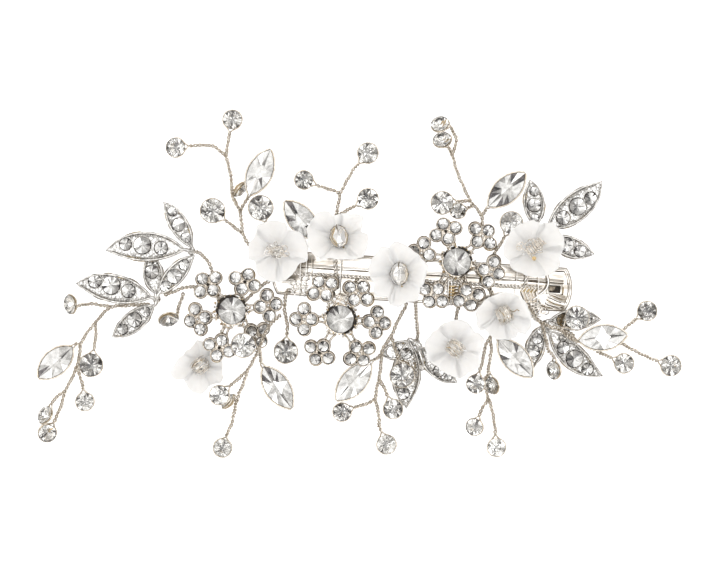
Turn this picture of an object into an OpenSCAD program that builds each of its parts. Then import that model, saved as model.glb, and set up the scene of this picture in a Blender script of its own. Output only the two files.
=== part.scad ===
// Floral bridal hair clip. An arched barrette plate carries porcelain flowers, rhinestone
// flowers, cast leaf sprays and cut stones on twisted wire. It lies on its clasp bar, +Z up.
// The origin is the middle of the bar's flat underside, +X runs along the spray.

/* [Barrette] */
// Length of the plate
plate_l = 60; // [58:1:61]
// Width of the plate
plate_w = 8.6; // [8.4:0.2:9]
// Thickness of the plate
plate_t = 0.8; // [0.7:0.1:0.9]
// Height of the plate's top face over the surface, at its middle
plate_top = 7.7; // [7.6:0.05:7.8]
// How much lower the plate's ends are than its middle
plate_sag = 2.5; // [2.4:0.1:2.6]
// Turn of the barrette away from the length of the spray, clockwise
plate_turn = 3.5; // [3:0.5:4]
// Length of the clasp bar
clasp_l = 54; // [53:1:55]
// Width of the clasp bar
clasp_w = 5.2; // [5:0.2:5.6]
// Thickness of the clasp bar
clasp_t = 1; // [0.8:0.1:1.1]
// Diameter of the hinge pin
pin_d = 1.1; // [1:0.1:1.2]

/* [Wires] */
// Diameter over the two twisted strands of a stem
stem_d = 0.7; // [0.6:0.1:0.8]
// Diameter of a branch that carries one stone
branch_d = 0.6; // [0.5:0.05:0.65]
// Thickness of one strand, and of the binding
strand_d = 0.35; // [0.3:0.05:0.4]
// Gap between neighbouring pieces
gap = 0.1; // [0.08:0.01:0.12]

/* [Stones] */
// Height of a stone's crown as a share of its radius
crown_share = 0.38; // [0.3:0.02:0.44]
// Depth of a stone's pointed back as a share of its radius
back_share = 0.8; // [0.7:0.05:0.85]
// Size of a stone's table as a share of the whole
table_share = 0.58; // [0.5:0.02:0.65]
// Wall of the collet round a wired stone
collet_t = 0.3; // [0.28:0.02:0.34]

/* [Rhinestone flowers] */
// Radius of a small petal stone
petal_stone_r = 1.02; // [0.96:0.02:1.04]
// Radius of the large centre stone
centre_stone_r = 2.7; // [2.6:0.05:2.8]
// Thickness of the metal frame
frame_t = 1; // [0.95:0.05:1.1]

/* [Leaves] */
// Thickness of a leaf inside its rim
leaf_t = 1; // [1:0.05:1.2]
// Height of the rim over the leaf
rim_h = 0.3; // [0.2:0.05:0.4]
// Width of the rim
rim_w = 0.4; // [0.3:0.05:0.5]

/* [Porcelain flowers] */
// Wall of the petals, measured upright
petal_wall = 0.7; // [0.6:0.05:0.8]
// How deep the notch between two petals cuts in, as a share of the radius
notch_share = 0.24; // [0.2:0.02:0.3]
// Height of the waves along a petal's edge
ruffle = 0.45; // [0.3:0.05:0.5]

/* [Hidden] */
METAL = "#d9d7d3";
WIRE = "#d8cfc0";
GLASS = "#e6ecf0";
CLAY = "#f6f3ee";
PEARL = "#efe3cc";

arch_r = (plate_l * plate_l / 4 + plate_sag * plate_sag) / (2 * plate_sag);
stem_r = stem_d / 2;

// Places along the barrette of the wire bands
BANDS = [-24.3, -23.4, -22.5, -16.2, 5.7, 18.6, 19.6, 23.2, 24.2];

// Base wires: the stem along the plate, then the arms that leave it
SPINE = [[-28, 1.7, 6.25], [-20, 1.2, 7.1], [-10, 0.6, 7.95], [0, 0, 8.25],
         [10, -0.6, 7.95], [18, -1.1, 7.2], [24, -1.5, 6.5]];
ARMS = [
  [[-27, 1.6, 6.4], [-31.5, -0.6, 7], [-35.5, -4, 7.3], [-37.9, -5.9, 7.5]],
  [[-26.4, 1.6, 6.5], [-28.2, 4, 7], [-28.8, 5.6, 7.6]],
  [[-17.2, 0.9, 7.5], [-17.4, 5, 7.8], [-17, 8.6, 8.1]],
  [[20.6, -1.2, 7], [21.1, 3, 7.6], [21.6, 5.8, 8.1]],
  [[21, 2.4, 7.5], [23, 6, 7.4], [23.9, 8.6, 7.3]],
  [[8, -0.4, 8.1], [7.3, -4.8, 8.1], [6.6, -8.2, 7.7], [6.2, -12.8, 7.3]],
  [[13, -0.8, 7.7], [14.4, -3.4, 8.1], [15.4, -5.6, 8.2]],
  [[-37.9, -5.7, 7.5], [-40.3, -10.6, 4.8], [-42.4, -14.6, 2.4]],
  [[-37.4, -5.4, 7.5], [-43, -1.7, 6.8], [-47, -1.2, 6.2], [-49.3, -2, 5.8], [-51.6, -2.9, 5.7]],
  [[-41, -2.9, 7.1], [-41.6, 0.4, 7.1], [-42.3, 3.1, 7], [-43.9, 5.2, 6.7], [-45.4, 6, 6.6]],
  [[20.6, -1.4, 7], [21.3, -4.6, 7], [21.7, -6.2, 6.9], [22.4, -7.4, 5.7], [24.2, -8.4, 5.4]],
  [[-1, -0.1, 8.2], [-1.3, -4.9, 8.2], [-1.2, -7.4, 7.1], [-0.9, -10, 5.1], [-0.9, -12, 4.9]],
  [[-12.8, 0.8, 7.7], [-15.6, -5.6, 8]],
  [[8.6, -0.5, 8], [7.4, 3.2, 8.4]]
];

// Rhinestone flowers: middle of the frame's underside, then a row for each petal
// Petal rows: direction, distance, droop
LEFT_FLOWER = [[-37.9, -5.9, 8.2],
  [[133, 7, 8], [66, 6.2, 8], [8, 7.2, 8], [-47, 7, 20], [-109, 7.8, 4], [194, 7, 8]]];
MIDDLE_FLOWER = [[-16.3, -7.6, 8.8],
  [[120, 7, 6], [55, 6.2, 6], [-5, 7.2, 8], [-61, 7.8, 10], [-122, 7.8, 10], [180, 7.2, 8]]];
RIGHT_FLOWER = [[6.9, 3.8, 9.3],
  [[110, 6.4, 6], [45, 7.2, 6], [-16, 7, 6], [-72, 7.4, 6], [235, 8, 6], [166, 7.2, 6]]];
// Where a petal bends off the centre disc
PETAL_BEND = 3.4;
// The four stones of a petal: along, across
PETAL_SET = [[1.55, 0], [-1.55, 0], [0, 2.05], [0, -2.05]];

// Leaves: base, tip (both on the underside), bulge to the left, bulge to the right, roll, stones
// Stone rows: along, across, radius
LEFT_LEAVES = [
  [[-45.7, 6.3, 7.4], [-51.4, 16, 5.8], 1.9, 2, 0, [[8.6, -0.3, 0.9], [5.6, 0, 1.3], [2.6, 0, 1]]],
  [[-47, 6.2, 7.4], [-63.2, 6.4, 5.4], 2.4, 3.6, 0,
    [[12.2, -1, 1.2], [8.8, -0.8, 1.7], [5, -0.3, 1.3]]],
  [[-53.6, -3.4, 6.6], [-69.2, -0.2, 4.2], 2.6, 3.2, 0,
    [[12.2, -0.9, 1.3], [8.8, -0.8, 1.8], [5.1, -0.4, 1.35]]],
  [[-53.2, -2.8, 6.4], [-54.2, 5.2, 4.6], 2.1, 2.1, 0, [[4.6, 0.2, 1.35]]],
  [[-52.8, -2.8, 6.6], [-45.5, 5.4, 7.4], 2, 1.9, 0, [[2.4, 0.1, 1], [5.1, 0, 1.45], [8.2, 0, 1.05]]],
  [[-53.2, -4.6, 6.4], [-61.8, -11.4, 3.8], 2.2, 2.2, 0,
    [[2.4, -0.1, 1], [5.2, -0.2, 1.45], [8.3, -0.2, 1.05]]]
];
LEFT_HUBS = [[-53, -3.6, 6.3], [-46, 5.9, 7.1]];
RIGHT_TOP_LEAVES = [
  [[22.6, 10.6, 8], [21.8, 20.2, 6.4], 2.1, 2.3, 0, [[7.2, -0.4, 0.9], [4.4, -0.1, 1.35], [1.8, 0, 0.8]]],
  [[24.6, 10.4, 8], [36.1, 19.7, 6], 2.5, 3.4, 0,
    [[10.8, -0.9, 1.2], [7.7, -0.6, 1.7], [4, -0.5, 1.35]]],
  [[24.8, 8.8, 7.8], [34.3, 5.1, 6.4], 2, 2.3, 0, [[7.2, -0.2, 1.15], [4.2, 0, 1.4]]]
];
RIGHT_TOP_HUBS = [[23.9, 9.8, 7.7]];
RIGHT_BOTTOM_LEAVES = [
  [[24.2, -8.6, 6.4], [22, -17.4, 4.4], 1.6, 2.4, 0, [[3, -0.5, 1], [5.6, -0.6, 1.2]]],
  [[25, -9.2, 6.4], [36, -19.2, 3.4], 1.6, 3.4, 0, [[5, -0.9, 1.2], [8.3, -1, 1.7], [11.7, -0.8, 1.15]]],
  [[25, -8, 6.4], [35.8, -7.4, 5], 2.2, 2.2, 0, [[3, 0, 1.3], [8, 0, 0.9]]],
  [[24.4, -9.2, 6.2], [31.2, -12.2, 5.7], 1.4, 1.4, 35, [[4.2, 0, 0.7]]]
];
RIGHT_BOTTOM_HUBS = [[24.6, -8.6, 6.3]];
BOTTOM_LEAVES = [
  [[-2.6, -11.6, 5.8], [-3.4, -25.4, 2.8], 2.8, 3, 0, [[2.8, -0.4, 1.05], [11, -0.5, 1.15]]],
  [[-1.4, -12.6, 5.2], [-8.2, -15, 4.6], 1.8, 1.8, 0, [[4.6, 0, 1.2]]],
  [[-0.8, -13, 5.6], [6.8, -20.6, 4.4], 2.2, 2.4, 0, [[6.4, -0.6, 1.1], [8.6, -0.1, 0.7]]],
  [[-0.4, -12.8, 5.8], [0.8, -17.8, 5.2], 1.2, 1.2, 60, []]
];
BOTTOM_HUBS = [[-1.2, -12.3, 5.7]];

// Porcelain flowers: middle of the underside, radius, depth, lean direction, lean, spin
FLOWERS = [
  [[-28.8, 5.8, 8.4], 6.1, 3.6, 0, 0, 8],
  [[-16.6, 8.2, 8.8], 6.1, 3.8, 90, 12, 52],
  [[-4.6, 1.4, 9.1], 6.2, 3.6, 0, 0, 28],
  [[21.6, 6.2, 8.9], 6.3, 3.6, 30, 6, 20],
  [[6.5, -13.4, 8], 5.9, 3.4, 0, 0, 40],
  [[15.8, -6.2, 8.9], 5.6, 3.6, -50, 12, 0],
  [[-44, -16.6, 1.8], 5.6, 3.2, 225, 8, 64]
];

// Wired stones. Round rows: middle, radius, lean direction, lean, route of the stem
// Navette rows: middle, length, width, turn, lean direction, lean, route of the stem
// A stem ends at the collet, so the route leaves its last point out
TOP_LEFT_WIRES = [
  [[-31, 5, 7.6], [-34.4, 7.2, 8], [-35.6, 9, 8], [-36.4, 14, 6.8], [-37.8, 16.8, 6],
   [-38.2, 20.8, 4.8], [-39.2, 25, 3.2]]
];
TOP_LEFT_ROUNDS = [
  [[-38, 32.4, 1.7], 1.9, 90, 5, [[-39.2, 25, 3.2], [-38.8, 28.2, 2.2]]],
  [[-49.4, 26.8, 2.2], 1.9, 180, 8, [[-39.2, 25, 3.2], [-41.8, 27, 2.9], [-45, 27.2, 2.5]]],
  [[-36.2, 18.2, 4.8], 1.8, -40, 80, [[-37, 15.3, 6.4]]],
  [[-41.8, 14, 8.4], 2.4, 0, 0, [[-35.7, 9.4, 7.9], [-39.1, 12, 8.2]]],
  [[-32.2, 14.6, 8.4], 2.4, 0, 0, [[-30.6, 9.2, 8], [-31.2, 11.4, 8.2]]]
];
TOP_LEFT_NAVETTES = [
  [[-32.4, 21.7, 6.4], 10, 4.7, 65, 0, 0, [[-36.4, 14, 6.8], [-34.9, 16.4, 6.8]]]
];
TOP_MIDDLE_WIRES = [
  [[-17.3, 10.6, 8.2], [-17.1, 13.4, 8.4], [-16.6, 15.8, 8.2], [-16.4, 17.4, 7.8]],
  [[-18.4, 7.4, 8], [-19, 7.6, 8.1], [-19.8, 7.9, 8.2]]
];
TOP_MIDDLE_ROUNDS = [
  [[-10.8, 25.6, 5.2], 2, 0, 0, [[-16.4, 17.4, 7.8], [-15, 20, 7.2], [-13.6, 22.4, 6.2]]],
  [[-23.6, 20.2, 6.2], 1.8, 0, 0, [[-16.4, 17.4, 7.8], [-17.5, 18, 7.6], [-19.8, 18.7, 7]]],
  [[-10.8, 16.4, 8.2], 2, 0, 0, [[-17.1, 13, 8.3], [-14.6, 14.3, 8.3]]]
];
TOP_MIDDLE_NAVETTES = [
  [[-24.1, 12.2, 8.4], 9.8, 4.7, -49, 0, 0, [[-19.8, 7.9, 8.2]]]
];
TOP_RIGHT_WIRES = [
  [[11.9, 9.4, 8.2], [11.8, 13, 8.3], [9.6, 16, 8.1], [8.3, 18.8, 7.2], [7.1, 21.6, 6.2],
   [6.2, 24.8, 4.8], [5.6, 26.4, 4.4]]
];
TOP_RIGHT_ROUNDS = [
  [[3.6, 31.6, 2.4], 1.8, 110, 35, [[6.1, 25.2, 4.7], [6.9, 28.2, 3.8], [5.9, 30.6, 3]]],
  [[4, 28.4, 4.2], 1.8, 110, 35, [[5.9, 25.5, 4.6]]],
  [[4, 15.6, 9], 2.2, 0, 0, [[9.6, 16, 8.1], [7.4, 15.9, 8.5]]],
  [[7.2, 14, 6.6], 1.5, 0, 0, [[10.2, 15.2, 8.1], [9.2, 14.6, 7.2]]],
  [[17.8, 11.6, 8.4], 2.2, 0, 0, [[14.2, 5.2, 8], [16.2, 8.4, 8.2]]]
];
TOP_RIGHT_NAVETTES = [
  [[16.9, 18.2, 7.4], 9.8, 4.7, 42.6, 0, 0, [[11.8, 13, 8.3], [12.7, 14.1, 8]]]
];
LEFT_WIRES = [
  [[-54.4, -4.6, 5.2], [-58.8, -4.9, 4.8], [-62.1, -5.2, 4.6], [-63.6, -6.3, 4.6], [-65.4, -8.4, 4.6],
   [-67.2, -10.6, 4.4], [-68.3, -12.7, 4], [-68.7, -15.5, 3.4], [-69.2, -17.2, 3.2],
   [-70.2, -19.6, 3], [-71.6, -22.1, 2.8]]
];
LEFT_ROUNDS = [
  [[-70.6, -4.7, 3.8], 1.9, 190, 50, [[-62.1, -5.2, 4.6], [-66, -4.6, 4.5]]],
  [[-66.2, -16.8, 5], 2.3, 0, 0, [[-65.4, -8.4, 4.6], [-65.2, -9.6, 4.8], [-65.5, -13, 5]]],
  [[-67.6, -24.2, 2.2], 1.8, 0, 0, [[-69.2, -17.2, 3.2], [-68.4, -19.4, 3], [-68, -21.2, 2.6]]],
  [[-75.7, -26.8, 2.4], 1.8, 150, 45, [[-71.6, -22.1, 2.8], [-73.4, -23.4, 2.6]]],
  [[-75.1, -30.6, 1.9], 1.8, -60, 20, [[-71.6, -22.1, 2.8], [-72.2, -24.6, 2.5], [-73.2, -27, 2.2]]]
];
LEFT_NAVETTES = [
  [[-73.4, -16.3, 3.4], 9.2, 4.7, 42.4, 0, 0, [[-68.3, -12.7, 4]]]
];
BOTTOM_LEFT_WIRES = [
  [[-28.2, -6.8, 8.6], [-29.9, -8.3, 9.5], [-31.3, -10.4, 10], [-32.5, -13.4, 9.6], [-33.7, -15.8, 8.2],
   [-35, -18.2, 6.6], [-35.7, -20.4, 5.4], [-36.6, -22.4, 4.2], [-37.4, -25.2, 3.2],
   [-38.1, -28.4, 2.4], [-39.2, -31, 2]],
  [[-26.8, -1.6, 7.2], [-27.3, -3.4, 7.5], [-27.4, -6.1, 7.5], [-26.8, -9, 7.4]]
];
BOTTOM_LEFT_ROUNDS = [
  [[-50.6, -7.9, 5.2], 2, -75, 55, [[-47.7, -2.3, 6.2], [-48, -3.6, 6.2], [-48.7, -5.2, 6]]],
  [[-35.6, -12.8, 11.2], 2.35, 0, 0, [[-32.5, -13.4, 9.6]]],
  [[-27.2, -14.1, 7.4], 2.3, 0, 0, [[-26.8, -9, 7.4], [-27, -10.4, 7.4]]],
  [[-40.5, -22.8, 6.6], 1.9, 0, 0, [[-34.8, -17.8, 6.9], [-36.9, -19.7, 6.6]]],
  [[-39, -24, 2.2], 1.8, 140, 78, [[-37.1, -24.2, 3.5]]],
  [[-40, -33.5, 1.7], 1.8, 0, 0, [[-39.2, -31, 2]]]
];
BOTTOM_LEFT_NAVETTES = [
  [[-28.9, -21.3, 6.2], 10, 4.7, -56, 0, 0, [[-32.5, -13.4, 9.6], [-32.2, -15.2, 7.8]]]
];
BOTTOM_MIDDLE_WIRES = [
  [[-3, -3.4, 8.3], [-3.4, -5.2, 8.4], [-4.8, -7.8, 8.2], [-6.2, -11, 8], [-7.8, -13.5, 8],
   [-8.2, -16.2, 7.6], [-8.6, -19.4, 6.6], [-9.1, -21.5, 5.6], [-9.3, -23.6, 4.6],
   [-8.7, -26.6, 3.6], [-8.6, -29, 2.8]]
];
BOTTOM_MIDDLE_ROUNDS = [
  [[-4, -18.8, 8.8], 2.4, 0, 0, [[-6.2, -11, 8], [-5.2, -14, 8.7]]],
  [[-5.8, -25.6, 5.6], 1.9, 0, 0, [[-8.6, -19.4, 6.6], [-7.4, -21.8, 6.2]]],
  [[-16, -26.3, 2.6], 1.8, 0, 0, [[-9.3, -23.6, 4.6], [-11.4, -24.7, 4], [-13, -25.1, 3.4]]],
  [[-7.1, -32.8, 2.2], 1.9, 0, 0, [[-8.6, -29, 2.8]]]
];
BOTTOM_MIDDLE_NAVETTES = [
  [[-13.7, -20.1, 6.4], 10, 4.7, 47.7, 0, 0, [[-7.9, -14.2, 7.9], [-9, -15.4, 7.4]]]
];
BOTTOM_RIGHT_WIRES = [
  [[14.6, -8.8, 8], [13.6, -11.2, 7.8], [13.8, -13.6, 7.2], [13.4, -16.4, 6.2], [13.1, -18.8, 5],
   [12.6, -20, 2.6], [12.9, -21.8, 2], [13.4, -23.8, 2.6]]
];
BOTTOM_RIGHT_ROUNDS = [
  [[10.7, -20.6, 5.6], 1.8, 200, 10, [[13.6, -11.2, 7.8], [12.6, -13, 7.4], [12.1, -15.8, 6.6]]],
  [[13.9, -21, 4.6], 1.7, 200, 45, [[13.2, -18, 5.5]]],
  [[10.5, -29.3, 2.2], 1.7, 200, 15, [[13.4, -23.6, 2.6], [12.4, -25, 2.6]]],
  [[15, -33.4, 1.7], 1.8, 0, 0, [[13.4, -23.6, 2.6], [14.1, -26, 2.6], [14.6, -29, 2.2]]]
];
BOTTOM_RIGHT_NAVETTES = [
  [[18.6, -15.4, 7.4], 10, 4.7, -48, 0, 0, [[14.4, -9.3, 8]]]
];
RIGHT_WIRES = [
  [[21.4, -5, 7.9], [23.6, -8.2, 8.7], [27.4, -9.6, 8.9], [30, -10.7, 8.9]],
  [[27.4, -9.6, 8.9], [30.2, -11.8, 8.2], [33, -12, 7.1], [37, -11.2, 6.6], [40.2, -9.8, 6.2]]
];
RIGHT_ROUNDS = [
  [[30.8, -7.4, 9.8], 2.35, 0, 0, [[27.4, -9.6, 8.9]]],
  [[45.1, -6, 4.4], 1.9, 0, 0, [[40.2, -9.8, 6.2], [41.8, -8.4, 5.6]]],
  [[40.5, -16.5, 3.8], 1.9, 0, 0, [[33, -12, 7.1], [34.8, -13.9, 6.2], [37, -15, 5.2]]],
  [[50, -17, 1.8], 2, 0, 0, [[37, -11.2, 6.6], [40, -12.6, 5.6], [43, -14.2, 4.4], [46, -15.6, 3]]],
  [[26.2, -17.9, 4.2], 1.8, 190, 45, [[23.8, -8.3, 8.7], [24.6, -11.4, 8.1], [25.3, -14, 6.6]]]
];
RIGHT_NAVETTES = [
  [[36, -11.3, 9.2], 9.6, 4.7, 7, 0, 0, [[30, -10.7, 8.9]]]
];

// Geometry helpers
function unit(v) = v / norm(v);
function plate_z(x) = plate_top - plate_sag * x * x / (plate_l * plate_l / 4);
// A direction after the whole leans by an angle towards a bearing
function leaned(v, bearing, angle) =
  let (k = [-sin(bearing), cos(bearing), 0])
  v * cos(angle) + cross(k, v) * sin(angle) + k * (k * v) * (1 - cos(angle));
// Corners of a regular outline, and of a pointed oval with the same number on each side
function round_outline(r, n) = [for (k = [0:n - 1]) r * [cos(360 * k / n), sin(360 * k / n)]];
function arc_r(half, rise) = (half * half + rise * rise) / (2 * rise);
function navette_outline(l, w, n) =
  let (r = arc_r(l / 2, w / 2), a = asin(l / 2 / r), drop = r - w / 2)
  concat([for (k = [0:n - 1]) let (t = a - 2 * a * k / n) [r * sin(t), r * cos(t) - drop] * [[-1, 0], [0, -1]]],
         [for (k = [0:n - 1]) let (t = a - 2 * a * k / n) [r * sin(t), r * cos(t) - drop]]);

module place(at, bearing, angle)
  translate(at) rotate([0, 0, bearing]) rotate([0, angle, 0]) rotate([0, 0, -bearing]) children();

module on_barrette() rotate([0, 0, -plate_turn]) children();

// A wire of five sides along a route
module wire(route, d = stem_d) {
  n = 5;
  m = len(route);
  corners = [for (i = [0:m - 1])
    let (t = unit(route[min(i + 1, m - 1)] - route[max(i - 1, 0)]),
         s = unit(cross([0, 0, 1], t)),
         u = cross(t, s))
    for (k = [0:n - 1]) route[i] + d / 2 * (cos(360 * k / n) * s + sin(360 * k / n) * u)];
  sides = [for (i = [0:m - 2], k = [0:n - 1])
    let (a = i * n + k, b = i * n + (k + 1) % n)
    each [[a, a + n, b + n], [a, b + n, b]]];
  polyhedron(corners, concat([[for (k = [0:n - 1]) k]], sides, [[for (k = [n - 1:-1:0]) (m - 1) * n + k]]));
}

// A cut stone: a table, a crown of triangles and a pointed back, with its girdle at z = 0
module cut_stone(outline, crown, back) {
  n = len(outline);
  girdle = [for (p = outline) [p[0], p[1], 0]];
  table = [for (k = [0:n - 1])
    let (m = (outline[k] + outline[(k + 1) % n]) / 2 * table_share) [m[0], m[1], crown]];
  crown_faces = [for (k = [0:n - 1])
    let (j = (k + 1) % n)
    each [[n + k, k, n + j], [k, j, n + j]]];
  back_faces = [for (k = [0:n - 1]) [n + k, n + (k + 1) % n, 2 * n]];
  polyhedron(concat(table, girdle, [[0, 0, -back]]),
             concat([[for (k = [n - 1:-1:0]) k]], crown_faces, back_faces));
}

module round_stone(r, n = 8, back = undef)
  cut_stone(round_outline(r, n), r * crown_share, is_undef(back) ? r * back_share : back);

// A set stone and its conical seat, both with the girdle at z = 0
module set_stone(r) round_stone(r, 8, min(r * 0.7, 0.78));
module seat(r) {
  depth = min(r * 0.7, 0.78) + 0.08;
  translate([0, 0, -depth]) cylinder(r1 = 0.12, r2 = r + gap, h = depth, $fn = 24);
  translate([0, 0, -0.001]) cylinder(r = r + gap, h = 1, $fn = 24);
}

// A tapered collet, open at the back, between two outlines. It is narrow at the back
module collet(inner, outer) {
  n = len(inner);
  loops = concat([for (p = inner) [p[0], p[1], 0.15]], [for (p = outer) [p[0], p[1], 0.15]],
                 [for (p = inner) [p[0], p[1], -0.3]]);
  faces = [for (k = [0:n - 1], s = [0, 1, 2])
    let (j = (k + 1) % n, a = s * n, b = (s + 1) % 3 * n)
    each [[a + k, a + j, b + j], [a + k, b + j, b + k]]];
  polyhedron(loops, faces);
}

// Sprigs
// The last two points of a stem, straight out from the edge of its stone
function last_leg(middle, way, edge, from) =
  let (room = way * (from - middle) - edge)
  [middle + way * (edge + max(0.25, min(0.8, room / 2))), middle + way * edge];
function round_end(row) =
  let (from = row[4][len(row[4]) - 1], axis = leaned([0, 0, 1], row[2], row[3]), away = from - row[0])
  last_leg(row[0], unit(away - axis * (axis * away)), row[1] + gap, from);
function navette_end(row) =
  let (from = row[6][len(row[6]) - 1], axis = leaned([cos(row[3]), sin(row[3]), 0], row[4], row[5]))
  last_leg(row[0], axis * sign(axis * (from - row[0])), row[1] / 2 + 2 * gap, from);

module sprig(wires, rounds, navettes) {
  for (route = wires) wire(route);
  for (row = rounds) {
    wire(concat(row[4], round_end(row)), branch_d);
    place(row[0], row[2], row[3])
      collet(round_outline(row[1] + gap, 8), round_outline(row[1] + gap + collet_t, 8));
  }
  for (row = navettes) {
    wire(concat(row[6], navette_end(row)), branch_d);
    place(row[0], row[4], row[5]) rotate([0, 0, row[3]])
      collet(navette_outline(row[1] + 3 * gap, row[2] + 2 * gap, 5),
             navette_outline(row[1] + 3 * gap + 2.4 * collet_t, row[2] + 2 * gap + 2 * collet_t, 5));
  }
}

module sprig_stones(rounds, navettes) {
  for (row = rounds) place(row[0], row[2], row[3]) round_stone(row[1]);
  for (row = navettes) place(row[0], row[4], row[5]) rotate([0, 0, row[3]])
    cut_stone(navette_outline(row[1], row[2], 5), 0.9, 1.5);
}

// Rhinestone flowers
module at_petals(flower) translate(flower[0]) for (p = flower[1]) rotate([0, 0, p[0]])
  translate([PETAL_BEND, 0, 0]) rotate([0, p[2], 0]) translate([p[1] - PETAL_BEND, 0, 0]) children();

module petal_plate() {
  for (s = PETAL_SET) translate([s[0], s[1], 0]) cylinder(r = petal_stone_r + 0.24, h = frame_t, $fn = 24);
  linear_extrude(frame_t) polygon([[1.55, 0], [0, 2.05], [-1.55, 0], [0, -2.05]]);
  translate([-5, -0.55, 0.1]) cube([3.8, 1.1, frame_t - 0.3]);
}

module rhinestone_flower(flower) {
  cup_h = frame_t + 1.2;
  difference() {
    union() {
      translate(flower[0]) cylinder(r = centre_stone_r + 0.35, h = cup_h, $fn = 48);
      at_petals(flower) petal_plate();
    }
    translate(flower[0] + [0, 0, cup_h - 1.75])
      cylinder(r1 = 0.3, r2 = centre_stone_r + gap, h = 1.6, $fn = 48);
    translate(flower[0] + [0, 0, cup_h - 0.151]) cylinder(r = centre_stone_r + gap, h = 1, $fn = 48);
    at_petals(flower) for (s = PETAL_SET) translate([s[0], s[1], frame_t]) seat(petal_stone_r);
  }
}

module petal_stones(flower)
  at_petals(flower) for (s = PETAL_SET) translate([s[0], s[1], frame_t]) set_stone(petal_stone_r);

module centre_stone(flower)
  translate(flower[0] + [0, 0, frame_t + 1.05]) round_stone(centre_stone_r, 12, 1.45);

// Leaves
module leaf_plan(l, left, right) intersection() {
  translate([l / 2, left - arc_r(l / 2, left)]) circle(r = arc_r(l / 2, left), $fn = 120);
  translate([l / 2, arc_r(l / 2, right) - right]) circle(r = arc_r(l / 2, right), $fn = 120);
}

module on_leaf(row) {
  way = row[1] - row[0];
  flat = norm([way[0], way[1]]);
  translate(row[0]) rotate([row[4], -atan2(way[2], flat), atan2(way[1], way[0])]) children();
}

module leaf(row) {
  l = norm(row[1] - row[0]);
  on_leaf(row) difference() {
    linear_extrude(leaf_t + rim_h) leaf_plan(l, row[2], row[3]);
    translate([2.2 * rim_w, 0, leaf_t])
      linear_extrude(1) leaf_plan(l - 4.4 * rim_w, row[2] - rim_w, row[3] - rim_w);
  }
}

module leaf_spray(leaves, hubs) difference() {
  union() {
    for (row = leaves) leaf(row);
    for (h = hubs) translate(h) cylinder(r = 1.7, h = 1, $fn = 48);
  }
  for (row = leaves) on_leaf(row) for (s = row[5]) translate([s[0], s[1], leaf_t]) seat(s[2]);
}

module leaf_stones(leaves)
  for (row = leaves) on_leaf(row) for (s = row[5]) translate([s[0], s[1], leaf_t]) set_stone(s[2]);

// Porcelain flowers
// Radius at an angle, and height over the base at a share of the way out
function lobe(r, a) = r * (1 - notch_share * pow(abs((a % 72 + 72) % 72 - 36) / 36, 3));
function rise(u, a, depth) =
  let (s = max(0, u - 0.2) / 0.8)
  depth * (1 - (1 - s) * (1 - s)) - ruffle * u * u * u * cos(5 * (a - 36));

module petals(r, depth, spin) {
  n = 30;
  shares = [0.3, 0.55, 0.8, 1];
  m = len(shares);
  function skin(lift) = concat([[0, 0, lift]], [for (u = shares, k = [0:n - 1])
    let (a = 360 * k / n, q = u * lobe(r, a)) [q * cos(a + spin), q * sin(a + spin), rise(u, a, depth) + lift]]);
  function fan(from) = [for (k = [0:n - 1]) [from, from + 1 + (k + 1) % n, from + 1 + k]];
  function bands(from) = [for (j = [0:m - 2], k = [0:n - 1])
    let (a = from + 1 + j * n + k, b = from + 1 + j * n + (k + 1) % n)
    each [[a, b, b + n], [a, b + n, a + n]]];
  function turned(list) = [for (f = list) [f[0], f[2], f[1]]];
  under = 1 + m * n;
  edge = (m - 1) * n + 1;
  rim = [for (k = [0:n - 1])
    let (a = edge + k, b = edge + (k + 1) % n)
    each [[a, b, b + under], [a, b + under, a + under]]];
  polyhedron(concat(skin(petal_wall), skin(0)),
             concat(fan(0), bands(0), rim, turned(fan(under)), turned(bands(under))));
}

module porcelain_flower(i) {
  row = FLOWERS[i - 1];
  color(CLAY) place(row[0], row[3], row[4]) petals(row[1], row[2], row[5]);
}

// A cut crystal bead that sits in a flower
module flower_bead(i) {
  row = FLOWERS[i - 1];
  color(PEARL) place(row[0], row[3], row[4]) translate([0, 0, petal_wall + 2.25]) hull() {
    cylinder(r = 1.75, h = 0.9, center = true, $fn = 8);
    rotate([0, 0, 22.5]) cylinder(r = 0.9, h = 2.5, center = true, $fn = 8);
  }
}

// Barrette
module plate_plan() {
  end_r = 5.6;
  intersection() {
    square([plate_l, plate_w], center = true);
    union() {
      square([plate_l - 2 * end_r, plate_w + 2], center = true);
      for (s = [-1, 1]) translate([s * (plate_l / 2 - end_r), 0]) circle(r = end_r, $fn = 96);
    }
  }
}

module barrette_plate() color(METAL) on_barrette() difference() {
  union() {
    intersection() {
      translate([0, 0, plate_top - arch_r]) rotate([90, 0, 0]) difference() {
        cylinder(r = arch_r, h = plate_w + 4, center = true, $fn = 720);
        cylinder(r = arch_r - plate_t, h = plate_w + 6, center = true, $fn = 720);
      }
      linear_extrude(plate_top + 1) plate_plan();
    }
    translate([-27.1, -1, 2.5]) cube([2.2, 2, 3]);
  }
  // Bore for the hinge pin
  translate([-26, 0, 3.5]) rotate([90, 0, 0]) cylinder(d = pin_d + 2 * gap, h = 4, center = true, $fn = 32);
  // Slot for the catch
  translate([25.4, -0.6, 3]) cube([2.2, 1.2, 6]);
  // Groove along the plate
  translate([0, 1.4, plate_top - arch_r]) rotate([90, 0, 0]) difference() {
    cylinder(r = arch_r + 1, h = 0.35, $fn = 720);
    translate([0, 0, -1]) cylinder(r = arch_r - 0.3, h = 3, $fn = 720);
  }
}

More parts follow.
